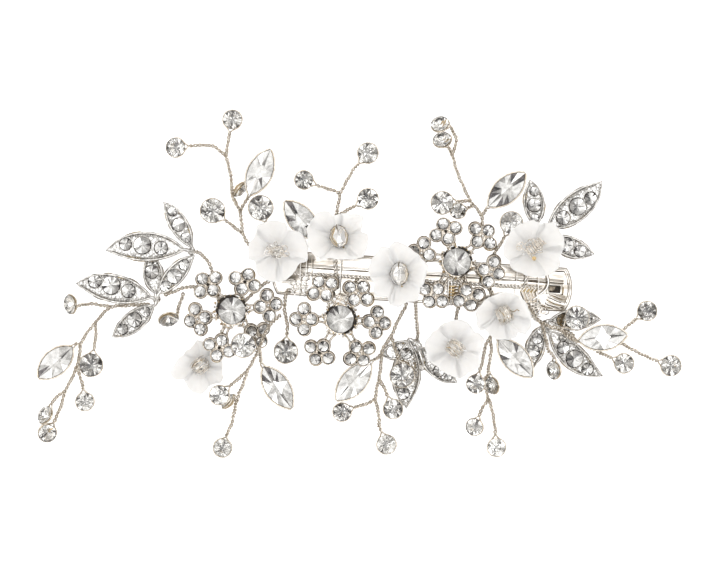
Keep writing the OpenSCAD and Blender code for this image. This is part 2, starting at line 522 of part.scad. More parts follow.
module barrette_clasp() color(METAL) on_barrette() {
  translate([-clasp_l / 2, -clasp_w / 2, 0]) cube([clasp_l, clasp_w, clasp_t]);
  for (s = [-1, 1]) translate([-27, s * 1.8 - 0.65, 0]) cube([2, 1.3, 4.3]);
  translate([-26, 0, 3.5]) rotate([90, 0, 0]) cylinder(d = pin_d, h = 4.6, center = true, $fn = 32);
  translate([25.2, -1.5, 0]) cube([1.8, 3, 4.2]);
  translate([25.7, -0.4, 4]) cube([1.2, 0.8, 1.4]);
}

// Bands of wire round the plate and the stem on it
module binding_wire() color(WIRE) on_barrette() for (x = BANDS) {
  low = -plate_t - gap;
  high = 1.05;
  wide = plate_w + 2 * gap;
  lean = atan2(plate_z(x + 1) - plate_z(x - 1), 2);
  translate([x, 0, plate_z(x)]) rotate([0, -lean, 0])
    rotate([90, 0, 90]) linear_extrude(strand_d, center = true) difference() {
      translate([-wide / 2 - strand_d, low - strand_d]) square([wide + 2 * strand_d, high - low + 2 * strand_d]);
      translate([-wide / 2, low]) square([wide, high - low]);
    }
}

module base_wires() color(WIRE) {
  wire(SPINE);
  for (route = ARMS) wire(route);
}

module rhinestone_flower_left() color(METAL) rhinestone_flower(LEFT_FLOWER);
module rhinestone_flower_middle() color(METAL) rhinestone_flower(MIDDLE_FLOWER);
module rhinestone_flower_right() color(METAL) rhinestone_flower(RIGHT_FLOWER);
module petal_stones_left() color(GLASS) petal_stones(LEFT_FLOWER);
module petal_stones_middle() color(GLASS) petal_stones(MIDDLE_FLOWER);
module petal_stones_right() color(GLASS) petal_stones(RIGHT_FLOWER);
module centre_stone_left() color(GLASS) centre_stone(LEFT_FLOWER);
module centre_stone_middle() color(GLASS) centre_stone(MIDDLE_FLOWER);
module centre_stone_right() color(GLASS) centre_stone(RIGHT_FLOWER);

module leaf_spray_left() color(METAL) leaf_spray(LEFT_LEAVES, LEFT_HUBS);
module leaf_spray_right_top() color(METAL) leaf_spray(RIGHT_TOP_LEAVES, RIGHT_TOP_HUBS);
module leaf_spray_right_bottom() color(METAL) leaf_spray(RIGHT_BOTTOM_LEAVES, RIGHT_BOTTOM_HUBS);
module leaf_spray_bottom() color(METAL) leaf_spray(BOTTOM_LEAVES, BOTTOM_HUBS);
module leaf_stones_left() color(GLASS) leaf_stones(LEFT_LEAVES);
module leaf_stones_right_top() color(GLASS) leaf_stones(RIGHT_TOP_LEAVES);
module leaf_stones_right_bottom() color(GLASS) leaf_stones(RIGHT_BOTTOM_LEAVES);
module leaf_stones_bottom() color(GLASS) leaf_stones(BOTTOM_LEAVES);

module sprig_top_left() color(WIRE) sprig(TOP_LEFT_WIRES, TOP_LEFT_ROUNDS, TOP_LEFT_NAVETTES);
module sprig_top_middle() color(WIRE) sprig(TOP_MIDDLE_WIRES, TOP_MIDDLE_ROUNDS, TOP_MIDDLE_NAVETTES);
module sprig_top_right() color(WIRE) sprig(TOP_RIGHT_WIRES, TOP_RIGHT_ROUNDS, TOP_RIGHT_NAVETTES);
module sprig_left() color(WIRE) sprig(LEFT_WIRES, LEFT_ROUNDS, LEFT_NAVETTES);
module sprig_bottom_left() color(WIRE) sprig(BOTTOM_LEFT_WIRES, BOTTOM_LEFT_ROUNDS, BOTTOM_LEFT_NAVETTES);
module sprig_bottom_middle()
  color(WIRE) sprig(BOTTOM_MIDDLE_WIRES, BOTTOM_MIDDLE_ROUNDS, BOTTOM_MIDDLE_NAVETTES);
module sprig_bottom_right()
  color(WIRE) sprig(BOTTOM_RIGHT_WIRES, BOTTOM_RIGHT_ROUNDS, BOTTOM_RIGHT_NAVETTES);
module sprig_right() color(WIRE) sprig(RIGHT_WIRES, RIGHT_ROUNDS, RIGHT_NAVETTES);
module sprig_stones_top_left() color(GLASS) sprig_stones(TOP_LEFT_ROUNDS, TOP_LEFT_NAVETTES);
module sprig_stones_top_middle() color(GLASS) sprig_stones(TOP_MIDDLE_ROUNDS, TOP_MIDDLE_NAVETTES);
module sprig_stones_top_right() color(GLASS) sprig_stones(TOP_RIGHT_ROUNDS, TOP_RIGHT_NAVETTES);
module sprig_stones_left() color(GLASS) sprig_stones(LEFT_ROUNDS, LEFT_NAVETTES);
module sprig_stones_bottom_left() color(GLASS) sprig_stones(BOTTOM_LEFT_ROUNDS, BOTTOM_LEFT_NAVETTES);
module sprig_stones_bottom_middle()
  color(GLASS) sprig_stones(BOTTOM_MIDDLE_ROUNDS, BOTTOM_MIDDLE_NAVETTES);
module sprig_stones_bottom_right()
  color(GLASS) sprig_stones(BOTTOM_RIGHT_ROUNDS, BOTTOM_RIGHT_NAVETTES);
module sprig_stones_right() color(GLASS) sprig_stones(RIGHT_ROUNDS, RIGHT_NAVETTES);

barrette_plate();
barrette_clasp();
binding_wire();
base_wires();
rhinestone_flower_left();
rhinestone_flower_middle();
rhinestone_flower_right();
petal_stones_left();
petal_stones_middle();
petal_stones_right();
centre_stone_left();
centre_stone_middle();
centre_stone_right();
leaf_spray_left();
leaf_spray_right_top();
leaf_spray_right_bottom();
leaf_spray_bottom();
leaf_stones_left();
leaf_stones_right_top();
leaf_stones_right_bottom();
leaf_stones_bottom();
for (i = [1:7]) porcelain_flower(i);
for (i = [1:7]) flower_bead(i);
sprig_top_left();
sprig_top_middle();
sprig_top_right();
sprig_left();
sprig_bottom_left();
sprig_bottom_middle();
sprig_bottom_right();
sprig_right();
sprig_stones_top_left();
sprig_stones_top_middle();
sprig_stones_top_right();
sprig_stones_left();
sprig_stones_bottom_left();
sprig_stones_bottom_middle();
sprig_stones_bottom_right();
sprig_stones_right();
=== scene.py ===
# Floral bridal hair clip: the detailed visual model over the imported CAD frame.
# Lengths are in mm and angles in degrees here; each mesh is made in metres in the CAD frame.
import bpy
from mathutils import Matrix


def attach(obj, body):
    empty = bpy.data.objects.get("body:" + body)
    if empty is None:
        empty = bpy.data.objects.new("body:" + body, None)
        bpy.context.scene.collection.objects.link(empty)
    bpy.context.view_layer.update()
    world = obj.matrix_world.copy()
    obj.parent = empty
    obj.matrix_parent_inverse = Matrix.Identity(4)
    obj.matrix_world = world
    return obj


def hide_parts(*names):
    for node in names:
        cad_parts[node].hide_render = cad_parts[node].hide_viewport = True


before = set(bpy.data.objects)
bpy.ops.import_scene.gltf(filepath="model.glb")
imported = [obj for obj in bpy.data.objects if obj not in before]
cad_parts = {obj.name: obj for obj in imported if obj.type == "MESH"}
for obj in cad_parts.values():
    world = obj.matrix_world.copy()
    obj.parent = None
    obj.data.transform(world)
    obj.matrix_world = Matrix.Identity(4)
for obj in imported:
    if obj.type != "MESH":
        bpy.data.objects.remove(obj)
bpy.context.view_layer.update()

from math import asin, atan2, cos, degrees, hypot, pi, radians, sin, sqrt

import bmesh
import bpy
import numpy as np

MM = 0.001
rng = np.random.default_rng(11)

# ---------------------------------------------------------------- layout, as in part.scad
PLATE_L, PLATE_W, PLATE_T, PLATE_TOP, PLATE_SAG, PLATE_TURN = 60, 8.6, 0.8, 7.7, 2.5, 3.5
GAP = 0.1
CROWN, BACK = 0.38, 0.8
PETAL_R, CENTRE_R, FRAME_T = 1.02, 2.7, 1.0
LEAF_T, PETAL_WALL = 1.0, 0.7

# Of this model alone. The barrette: the stem's height over the plate, the curve of its pressed ends,
# how square the windings are, the two ends of the catch slot along it, half the slot's width
STEM_HIGH, END_R, SQUARED, SLOT = 1.05, 7.8, 0.34, (25.42, 27.58, 0.58)
# How high a bezel stands over its stone's girdle, and how far from a hub its stalks reach
CUP_TOP, HUB_REACH = 0.02, 2.6
# Half a leaf's rim and step: how far in from the edge, how high
LEAF_RIM = ((0.0, 0.62), (0.08, 0.96), (0.22, 1.20), (0.38, 1.16), (0.50, 0.84), (0.60, 0.58))
# Twisted pairs: a strand's radius, how far its middle lies from the pair's, the length of one turn,
# and how near the line it counts as dipping under the other strand, where it is painted in shade
STRAND, OFFSET, PITCH, DIP = 0.175, 0.235, 1.5, 0.46

# Base wires: the stem along the plate, then the arms that leave it
SPINE = [[-28, 1.7, 6.25], [-20, 1.2, 7.1], [-10, 0.6, 7.95], [0, 0, 8.25],
         [10, -0.6, 7.95], [18, -1.1, 7.2], [24, -1.5, 6.5]]
ARMS = [
  [[-27, 1.6, 6.4], [-31.5, -0.6, 7], [-35.5, -4, 7.3], [-37.9, -5.9, 7.5]],
  [[-26.4, 1.6, 6.5], [-28.2, 4, 7], [-28.8, 5.6, 7.6]],
  [[-17.2, 0.9, 7.5], [-17.4, 5, 7.8], [-17, 8.6, 8.1]],
  [[20.6, -1.2, 7], [21.1, 3, 7.6], [21.6, 5.8, 8.1]],
  [[21, 2.4, 7.5], [23, 6, 7.4], [23.9, 8.6, 7.3]],
  [[8, -0.4, 8.1], [7.3, -4.8, 8.1], [6.6, -8.2, 7.7], [6.2, -12.8, 7.3]],
  [[13, -0.8, 7.7], [14.4, -3.4, 8.1], [15.4, -5.6, 8.2]],
  [[-37.9, -5.7, 7.5], [-40.3, -10.6, 4.8], [-42.4, -14.6, 2.4]],
  [[-37.4, -5.4, 7.5], [-43, -1.7, 6.8], [-47, -1.2, 6.2], [-49.3, -2, 5.8], [-51.6, -2.9, 5.7]],
  [[-41, -2.9, 7.1], [-41.6, 0.4, 7.1], [-42.3, 3.1, 7], [-43.9, 5.2, 6.7], [-45.4, 6, 6.6]],
  [[20.6, -1.4, 7], [21.3, -4.6, 7], [21.7, -6.2, 6.9], [22.4, -7.4, 5.7], [24.2, -8.4, 5.4]],
  [[-1, -0.1, 8.2], [-1.3, -4.9, 8.2], [-1.2, -7.4, 7.1], [-0.9, -10, 5.1], [-0.9, -12, 4.9]],
  [[-12.8, 0.8, 7.7], [-15.6, -5.6, 8]],
  [[8.6, -0.5, 8], [7.4, 3.2, 8.4]]
]

# Rhinestone flowers: middle of the frame's underside, then a row for each petal,
# with its direction, distance and droop
RHINESTONES = {
  "left": ([-37.9, -5.9, 8.2],
    [[133, 7, 8], [66, 6.2, 8], [8, 7.2, 8], [-47, 7, 20], [-109, 7.8, 4], [194, 7, 8]]),
  "middle": ([-16.3, -7.6, 8.8],
    [[120, 7, 6], [55, 6.2, 6], [-5, 7.2, 8], [-61, 7.8, 10], [-122, 7.8, 10], [180, 7.2, 8]]),
  "right": ([6.9, 3.8, 9.3],
    [[110, 6.4, 6], [45, 7.2, 6], [-16, 7, 6], [-72, 7.4, 6], [235, 8, 6], [166, 7.2, 6]])
}
# Where a petal bends off the centre disc
PETAL_BEND = 3.4
# Arcs of painted black shade round each centre cup: first bearing, last bearing, how wide
BLACK_ARCS = {
  "left": [(62, 206, 0.26), (14, 52, 0.22), (-6, 6, 0.14), (-58, -18, 0.13)],
  "middle": [(-84, 64, 0.26), (110, 164, 0.21)],
  "right": [(32, 88, 0.23), (95, 116, 0.20), (2, 27, 0.16), (-80, -24, 0.12), (122, 162, 0.13)]
}
# The four stones of a petal: along, across
PETAL_SET = [[1.55, 0], [-1.55, 0], [0, 2.05], [0, -2.05]]

# Leaves: base, tip (both on the underside), bulge to the left, bulge to the right, roll, stones
# Stone rows: along, across, radius
LEAVES = {"left": ([
  [[-45.7, 6.3, 7.4], [-51.4, 16, 5.8], 1.9, 2, 0, [[8.6, -0.3, 0.9], [5.6, 0, 1.3], [2.6, 0, 1]]],
  [[-47, 6.2, 7.4], [-63.2, 6.4, 5.4], 2.4, 3.6, 0,
    [[12.2, -1, 1.2], [8.8, -0.8, 1.7], [5, -0.3, 1.3]]],
  [[-53.6, -3.4, 6.6], [-69.2, -0.2, 4.2], 2.6, 3.2, 0,
    [[12.2, -0.9, 1.3], [8.8, -0.8, 1.8], [5.1, -0.4, 1.35]]],
  [[-53.2, -2.8, 6.4], [-54.2, 5.2, 4.6], 2.1, 2.1, 0, [[4.6, 0.2, 1.35]]],
  [[-52.8, -2.8, 6.6], [-45.5, 5.4, 7.4], 2, 1.9, 0, [[2.4, 0.1, 1], [5.1, 0, 1.45], [8.2, 0, 1.05]]],
  [[-53.2, -4.6, 6.4], [-61.8, -11.4, 3.8], 2.2, 2.2, 0,
    [[2.4, -0.1, 1], [5.2, -0.2, 1.45], [8.3, -0.2, 1.05]]]
], [[-53, -3.6, 6.3], [-46, 5.9, 7.1]]),
  "right_top": ([
  [[22.6, 10.6, 8], [21.8, 20.2, 6.4], 2.1, 2.3, 0, [[7.2, -0.4, 0.9], [4.4, -0.1, 1.35], [1.8, 0, 0.8]]],
  [[24.6, 10.4, 8], [36.1, 19.7, 6], 2.5, 3.4, 0,
    [[10.8, -0.9, 1.2], [7.7, -0.6, 1.7], [4, -0.5, 1.35]]],
  [[24.8, 8.8, 7.8], [34.3, 5.1, 6.4], 2, 2.3, 0, [[7.2, -0.2, 1.15], [4.2, 0, 1.4]]]
], [[23.9, 9.8, 7.7]]),
  "right_bottom": ([
  [[24.2, -8.6, 6.4], [22, -17.4, 4.4], 1.6, 2.4, 0, [[3, -0.5, 1], [5.6, -0.6, 1.2]]],
  [[25, -9.2, 6.4], [36, -19.2, 3.4], 1.6, 3.4, 0, [[5, -0.9, 1.2], [8.3, -1, 1.7], [11.7, -0.8, 1.15]]],
  [[25, -8, 6.4], [35.8, -7.4, 5], 2.2, 2.2, 0, [[3, 0, 1.3], [8, 0, 0.9]]],
  [[24.4, -9.2, 6.2], [31.2, -12.2, 5.7], 1.4, 1.4, 35, [[4.2, 0, 0.7]]]
], [[24.6, -8.6, 6.3]]),
  "bottom": ([
  [[-2.6, -11.6, 5.8], [-3.4, -25.4, 2.8], 2.8, 3, 0, [[2.8, -0.4, 1.05], [11, -0.5, 1.15]]],
  [[-1.4, -12.6, 5.2], [-8.2, -15, 4.6], 1.8, 1.8, 0, [[4.6, 0, 1.2]]],
  [[-0.8, -13, 5.6], [6.8, -20.6, 4.4], 2.2, 2.4, 0, [[6.4, -0.6, 1.1], [8.6, -0.1, 0.7]]],
  [[-0.4, -12.8, 5.8], [0.8, -17.8, 5.2], 1.2, 1.2, 60, []]
], [[-1.2, -12.3, 5.7]])
}

# Porcelain flowers: middle of the underside, depth, lean direction, lean
FLOWERS = [
  [[-28.8, 5.8, 8.4], 3.6, 0, 0],
  [[-16.6, 8.2, 8.8], 3.8, 90, 12],
  [[-4.6, 1.4, 9.1], 3.6, 0, 0],
  [[21.6, 6.2, 8.9], 3.6, 30, 6],
  [[6.5, -13.4, 8], 3.4, 0, 0],
  [[15.8, -6.2, 8.9], 3.6, -50, 12],
  [[-44, -16.6, 1.8], 3.2, 225, 8]
]

# Wired stones. Round rows: middle, radius, lean direction, lean, route of the stem
# Navette rows: middle, length, width, turn, lean direction, lean, route of the stem
# A stem ends at the collet, so the route leaves its last point out
SPRIGS = {"top_left": ([
  [[-31, 5, 7.6], [-34.4, 7.2, 8], [-35.6, 9, 8], [-36.4, 14, 6.8], [-37.8, 16.8, 6],
   [-38.2, 20.8, 4.8], [-39.2, 25, 3.2]]
], [
  [[-38, 32.4, 1.7], 1.9, 90, 5, [[-39.2, 25, 3.2], [-38.8, 28.2, 2.2]]],
  [[-49.4, 26.8, 2.2], 1.9, 180, 8, [[-39.2, 25, 3.2], [-41.8, 27, 2.9], [-45, 27.2, 2.5]]],
  [[-36.2, 18.2, 4.8], 1.8, -40, 80, [[-37, 15.3, 6.4]]],
  [[-41.8, 14, 8.4], 2.4, 0, 0, [[-35.7, 9.4, 7.9], [-39.1, 12, 8.2]]],
  [[-32.2, 14.6, 8.4], 2.4, 0, 0, [[-30.6, 9.2, 8], [-31.2, 11.4, 8.2]]]
], [
  [[-32.4, 21.7, 6.4], 10, 4.7, 65, 0, 0, [[-36.4, 14, 6.8], [-34.9, 16.4, 6.8]]]
]),
  "top_middle": ([
  [[-17.3, 10.6, 8.2], [-17.1, 13.4, 8.4], [-16.6, 15.8, 8.2], [-16.4, 17.4, 7.8]],
  [[-18.4, 7.4, 8], [-19, 7.6, 8.1], [-19.8, 7.9, 8.2]]
], [
  [[-10.8, 25.6, 5.2], 2, 0, 0, [[-16.4, 17.4, 7.8], [-15, 20, 7.2], [-13.6, 22.4, 6.2]]],
  [[-23.6, 20.2, 6.2], 1.8, 0, 0, [[-16.4, 17.4, 7.8], [-17.5, 18, 7.6], [-19.8, 18.7, 7]]],
  [[-10.8, 16.4, 8.2], 2, 0, 0, [[-17.1, 13, 8.3], [-14.6, 14.3, 8.3]]]
], [
  [[-24.1, 12.2, 8.4], 9.8, 4.7, -49, 0, 0, [[-19.8, 7.9, 8.2]]]
]),
  "top_right": ([
  [[11.9, 9.4, 8.2], [11.8, 13, 8.3], [9.6, 16, 8.1], [8.3, 18.8, 7.2], [7.1, 21.6, 6.2],
   [6.2, 24.8, 4.8], [5.6, 26.4, 4.4]]
], [
  [[3.6, 31.6, 2.4], 1.8, 110, 35, [[6.1, 25.2, 4.7], [6.9, 28.2, 3.8], [5.9, 30.6, 3]]],
  [[4, 28.4, 4.2], 1.8, 110, 35, [[5.9, 25.5, 4.6]]],
  [[4, 15.6, 9], 2.2, 0, 0, [[9.6, 16, 8.1], [7.4, 15.9, 8.5]]],
  [[7.2, 14, 6.6], 1.5, 0, 0, [[10.2, 15.2, 8.1], [9.2, 14.6, 7.2]]],
  [[17.8, 11.6, 8.4], 2.2, 0, 0, [[14.2, 5.2, 8], [16.2, 8.4, 8.2]]]
], [
  [[16.9, 18.2, 7.4], 9.8, 4.7, 42.6, 0, 0, [[11.8, 13, 8.3], [12.7, 14.1, 8]]]
]),
  "left": ([
  [[-54.4, -4.6, 5.2], [-58.8, -4.9, 4.8], [-62.1, -5.2, 4.6], [-63.6, -6.3, 4.6], [-65.4, -8.4, 4.6],
   [-67.2, -10.6, 4.4], [-68.3, -12.7, 4], [-68.7, -15.5, 3.4], [-69.2, -17.2, 3.2],
   [-70.2, -19.6, 3], [-71.6, -22.1, 2.8]]
], [
  [[-70.6, -4.7, 3.8], 1.9, 190, 50, [[-62.1, -5.2, 4.6], [-66, -4.6, 4.5]]],
  [[-66.2, -16.8, 5], 2.3, 0, 0, [[-65.4, -8.4, 4.6], [-65.2, -9.6, 4.8], [-65.5, -13, 5]]],
  [[-67.6, -24.2, 2.2], 1.8, 0, 0, [[-69.2, -17.2, 3.2], [-68.4, -19.4, 3], [-68, -21.2, 2.6]]],
  [[-75.7, -26.8, 2.4], 1.8, 150, 45, [[-71.6, -22.1, 2.8], [-73.4, -23.4, 2.6]]],
  [[-75.1, -30.6, 1.9], 1.8, -60, 20, [[-71.6, -22.1, 2.8], [-72.2, -24.6, 2.5], [-73.2, -27, 2.2]]]
], [
  [[-73.4, -16.3, 3.4], 9.2, 4.7, 42.4, 0, 0, [[-68.3, -12.7, 4]]]
]),
  "bottom_left": ([
  [[-28.2, -6.8, 8.6], [-29.9, -8.3, 9.5], [-31.3, -10.4, 10], [-32.5, -13.4, 9.6], [-33.7, -15.8, 8.2],
   [-35, -18.2, 6.6], [-35.7, -20.4, 5.4], [-36.6, -22.4, 4.2], [-37.4, -25.2, 3.2],
   [-38.1, -28.4, 2.4], [-39.2, -31, 2]],
  [[-26.8, -1.6, 7.2], [-27.3, -3.4, 7.5], [-27.4, -6.1, 7.5], [-26.8, -9, 7.4]]
], [
  [[-50.6, -7.9, 5.2], 2, -75, 55, [[-47.7, -2.3, 6.2], [-48, -3.6, 6.2], [-48.7, -5.2, 6]]],
  [[-35.6, -12.8, 11.2], 2.35, 0, 0, [[-32.5, -13.4, 9.6]]],
  [[-27.2, -14.1, 7.4], 2.3, 0, 0, [[-26.8, -9, 7.4], [-27, -10.4, 7.4]]],
  [[-40.5, -22.8, 6.6], 1.9, 0, 0, [[-34.8, -17.8, 6.9], [-36.9, -19.7, 6.6]]],
  [[-39, -24, 2.2], 1.8, 140, 78, [[-37.1, -24.2, 3.5]]],
  [[-40, -33.5, 1.7], 1.8, 0, 0, [[-39.2, -31, 2]]]
], [
  [[-28.9, -21.3, 6.2], 10, 4.7, -56, 0, 0, [[-32.5, -13.4, 9.6], [-32.2, -15.2, 7.8]]]
]),
  "bottom_middle": ([
  [[-3, -3.4, 8.3], [-3.4, -5.2, 8.4], [-4.8, -7.8, 8.2], [-6.2, -11, 8], [-7.8, -13.5, 8],
   [-8.2, -16.2, 7.6], [-8.6, -19.4, 6.6], [-9.1, -21.5, 5.6], [-9.3, -23.6, 4.6],
   [-8.7, -26.6, 3.6], [-8.6, -29, 2.8]]
], [
  [[-4, -18.8, 8.8], 2.4, 0, 0, [[-6.2, -11, 8], [-5.2, -14, 8.7]]],
  [[-5.8, -25.6, 5.6], 1.9, 0, 0, [[-8.6, -19.4, 6.6], [-7.4, -21.8, 6.2]]],
  [[-16, -26.3, 2.6], 1.8, 0, 0, [[-9.3, -23.6, 4.6], [-11.4, -24.7, 4], [-13, -25.1, 3.4]]],
  [[-7.1, -32.8, 2.2], 1.9, 0, 0, [[-8.6, -29, 2.8]]]
], [
  [[-13.7, -20.1, 6.4], 10, 4.7, 47.7, 0, 0, [[-7.9, -14.2, 7.9], [-9, -15.4, 7.4]]]
]),
  "bottom_right": ([
  [[14.6, -8.8, 8], [13.6, -11.2, 7.8], [13.8, -13.6, 7.2], [13.4, -16.4, 6.2], [13.1, -18.8, 5],
   [12.6, -20, 2.6], [12.9, -21.8, 2], [13.4, -23.8, 2.6]]
], [
  [[10.7, -20.6, 5.6], 1.8, 200, 10, [[13.6, -11.2, 7.8], [12.6, -13, 7.4], [12.1, -15.8, 6.6]]],
  [[13.9, -21, 4.6], 1.7, 200, 45, [[13.2, -18, 5.5]]],
  [[10.5, -29.3, 2.2], 1.7, 200, 15, [[13.4, -23.6, 2.6], [12.4, -25, 2.6]]],
  [[15, -33.4, 1.7], 1.8, 0, 0, [[13.4, -23.6, 2.6], [14.1, -26, 2.6], [14.6, -29, 2.2]]]
], [
  [[18.6, -15.4, 7.4], 10, 4.7, -48, 0, 0, [[14.4, -9.3, 8]]]
]),
  "right": ([
  [[21.4, -5, 7.9], [23.6, -8.2, 8.7], [27.4, -9.6, 8.9], [30, -10.7, 8.9]],
  [[27.4, -9.6, 8.9], [30.2, -11.8, 8.2], [33, -12, 7.1], [37, -11.2, 6.6], [40.2, -9.8, 6.2]]
], [
  [[30.8, -7.4, 9.8], 2.35, 0, 0, [[27.4, -9.6, 8.9]]],
  [[45.1, -6, 4.4], 1.9, 0, 0, [[40.2, -9.8, 6.2], [41.8, -8.4, 5.6]]],
  [[40.5, -16.5, 3.8], 1.9, 0, 0, [[33, -12, 7.1], [34.8, -13.9, 6.2], [37, -15, 5.2]]],
  [[50, -17, 1.8], 2, 0, 0, [[37, -11.2, 6.6], [40, -12.6, 5.6], [43, -14.2, 4.4], [46, -15.6, 3]]],
  [[26.2, -17.9, 4.2], 1.8, 190, 45, [[23.8, -8.3, 8.7], [24.6, -11.4, 8.1], [25.3, -14, 6.6]]]
], [
  [[36, -11.3, 9.2], 9.6, 4.7, 7, 0, 0, [[30, -10.7, 8.9]]]
])}

# ---------------------------------------------------------------- vectors and curves
def vec(*v):
    return np.array(v, float)


def unit(v):
    v = np.asarray(v, float)
    return v / np.linalg.norm(v)


def about(axis, angle):
    """Rotation matrix about an axis."""
    x, y, z = unit(axis)
    c, s = cos(radians(angle)), sin(radians(angle))
    return np.array([[c + x * x * (1 - c), x * y * (1 - c) - z * s, x * z * (1 - c) + y * s],
                     [y * x * (1 - c) + z * s, c + y * y * (1 - c), y * z * (1 - c) - x * s],
                     [z * x * (1 - c) - y * s, z * y * (1 - c) + x * s, c + z * z * (1 - c)]])


X, Y, Z = np.eye(3)


class Place:
    """A turn and a shift: points @ turn.T + at."""

    def __init__(self, at=(0, 0, 0), turn=None):
        self.at = np.asarray(at, float)
        self.turn = np.eye(3) if turn is None else turn

    def __call__(self, points):
        return np.asarray(points, float) @ self.turn.T + self.at

    def then(self, other):
        """other is inside this place."""
        return Place(self(other.at), self.turn @ other.turn)

    def moved(self, *at):
        """Moved along its own axes."""
        return self.then(Place(at))

    def spun(self, angle):
        """Turned about its own Z."""
        return self.then(Place((0, 0, 0), about(Z, angle)))


def leaning(at, bearing, angle):
    return Place(at, about(Z, bearing) @ about(Y, angle) @ about(Z, -bearing))


def on_barrette(points):
    return np.asarray(points, float) @ about(Z, -PLATE_TURN).T


def plate_z(x):
    return PLATE_TOP - PLATE_SAG * x * x / (PLATE_L * PLATE_L / 4)


def smooth(route, step=0.2):
    """An even row of points along a centripetal curve through the route's points."""
    p = np.asarray(route, float)
    if len(p) == 2:
        n = max(2, int(np.linalg.norm(p[1] - p[0]) / step) + 1)
        return p[0] + (p[1] - p[0]) * np.linspace(0, 1, n)[:, None]
    ends = [2 * p[0] - p[1], *p, 2 * p[-1] - p[-2]]
    found = []
    for i in range(1, len(ends) - 2):
        a, b, c, d = ends[i - 1:i + 3]
        t0 = 0.0
        t1 = t0 + np.linalg.norm(b - a) ** 0.5
        t2 = t1 + np.linalg.norm(c - b) ** 0.5
        t3 = t2 + np.linalg.norm(d - c) ** 0.5
        t = np.linspace(t1, t2, max(4, int(np.linalg.norm(c - b) / step * 2)), endpoint=False)[:, None]
        a1 = (t1 - t) / (t1 - t0) * a + (t - t0) / (t1 - t0) * b
        a2 = (t2 - t) / (t2 - t1) * b + (t - t1) / (t2 - t1) * c
        a3 = (t3 - t) / (t3 - t2) * c + (t - t2) / (t3 - t2) * d
        b1 = (t2 - t) / (t2 - t0) * a1 + (t - t0) / (t2 - t0) * a2
        b2 = (t3 - t) / (t3 - t1) * a2 + (t - t1) / (t3 - t1) * a3
        found.append((t2 - t) / (t2 - t1) * b1 + (t - t1) / (t2 - t1) * b2)
    line = np.concatenate([*found, p[-1:]])
    return even(line, step)


def travel(line):
    """How far along the line each of its points is."""
    return np.concatenate([[0], np.cumsum(np.linalg.norm(np.diff(line, axis=0), axis=1))])


def even(line, step):
    """The same line with its points an even step apart."""
    far = travel(line)
    n = max(2, int(round(far[-1] / step)) + 1)
    s = np.linspace(0, far[-1], n)
    return np.stack([np.interp(s, far, line[:, k]) for k in range(line.shape[1])], axis=1)


def frames(line):
    """Tangents and two side directions that turn as little as they can along a line."""
    t = np.gradient(line, axis=0)
    t /= np.linalg.norm(t, axis=1)[:, None]
    side = np.cross(t[0], Z if abs(t[0][2]) < 0.9 else X)
    sides = [unit(side)]
    for i in range(1, len(t)):
        s = sides[-1] - t[i] * (t[i] @ sides[-1])
        sides.append(s / np.linalg.norm(s))
    n = np.array(sides)
    return t, n, np.cross(t, n)


def polar(r, a, z=0.0):
    """A point z high at the radius r and the bearing a, in radians."""
    return vec(r * cos(a), r * sin(a), z)


def turn_in(count):
    """Even bearings round a full turn, in radians."""
    return np.linspace(0, 2 * pi, count, endpoint=False)


def arc_line(r, a, z):
    """The same for a row of bearings."""
    return np.column_stack([r * np.cos(a), r * np.sin(a), np.full(len(a), z)])


def beside(line, p, n, q, b):
    """A line moved by p along n and by q along b."""
    return line + p[:, None] * n + q[:, None] * b


def level(line, z):
    """Flat points raised to z, which is one number or one for each point."""
    return np.column_stack([line, np.zeros(len(line)) + z])


# ---------------------------------------------------------------- meshes
class Piece:
    """Gathers surfaces in mm and makes them one object in metres."""

    def __init__(self, name, slot, *nodes):
        self.name, self.slot, self.nodes = name, slot, nodes
        self.verts, self.loops, self.sizes, self.kinds, self.soft = [], [], [], [], []
        self.looks, self.count = [], 0

    def add(self, shape, look, place=None, soft=True):
        verts, faces = shape
        self.add_groups(place(verts) if place else verts, [(faces, look)], soft)

    def add_groups(self, verts, groups, soft=True):
        """One set of corners with faces of several looks on it; a third entry in a group is its own softness."""
        for faces, look, *own in groups:
            if look not in self.looks:
                self.looks.append(look)
            if isinstance(faces, np.ndarray):
                loops, sizes = faces.ravel(), np.full(len(faces), faces.shape[1])
            else:
                loops = np.concatenate([np.asarray(f) for f in faces])
                sizes = np.array([len(f) for f in faces])
            self.loops.append(loops + self.count)
            self.sizes.append(sizes)
            self.kinds.append(np.full(len(sizes), self.looks.index(look)))
            self.soft.append(np.full(len(sizes), bool(own[0] if own else soft)))
        self.verts.append(np.asarray(verts, float).reshape(-1, 3))
        self.count += len(self.verts[-1])

    def make(self):
        mesh = bpy.data.meshes.new(self.name)
        verts = np.concatenate(self.verts) * MM
        loops = np.concatenate(self.loops).astype(np.int32)
        sizes = np.concatenate(self.sizes).astype(np.int32)
        mesh.vertices.add(len(verts))
        mesh.vertices.foreach_set("co", verts.ravel())
        mesh.loops.add(len(loops))
        mesh.loops.foreach_set("vertex_index", loops)
        mesh.polygons.add(len(sizes))
        mesh.polygons.foreach_set("loop_start", np.concatenate([[0], np.cumsum(sizes)[:-1]]).astype(np.int32))
        mesh.polygons.foreach_set("material_index", np.concatenate(self.kinds).astype(np.int32))
        mesh.polygons.foreach_set("use_smooth", np.concatenate(self.soft))
        mesh.update(calc_edges=True)
        mesh.validate()
        work = bmesh.new()
        work.from_mesh(mesh)
        bmesh.ops.recalc_face_normals(work, faces=work.faces)
        work.to_mesh(mesh)
        work.free()
        for look in self.looks:
            mesh.materials.append(LOOKS[look])
        obj = bpy.data.objects.new(self.name, mesh)
        bpy.context.scene.collection.objects.link(obj)
        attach(obj, "root")
        if self.nodes:
            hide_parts(*self.nodes)


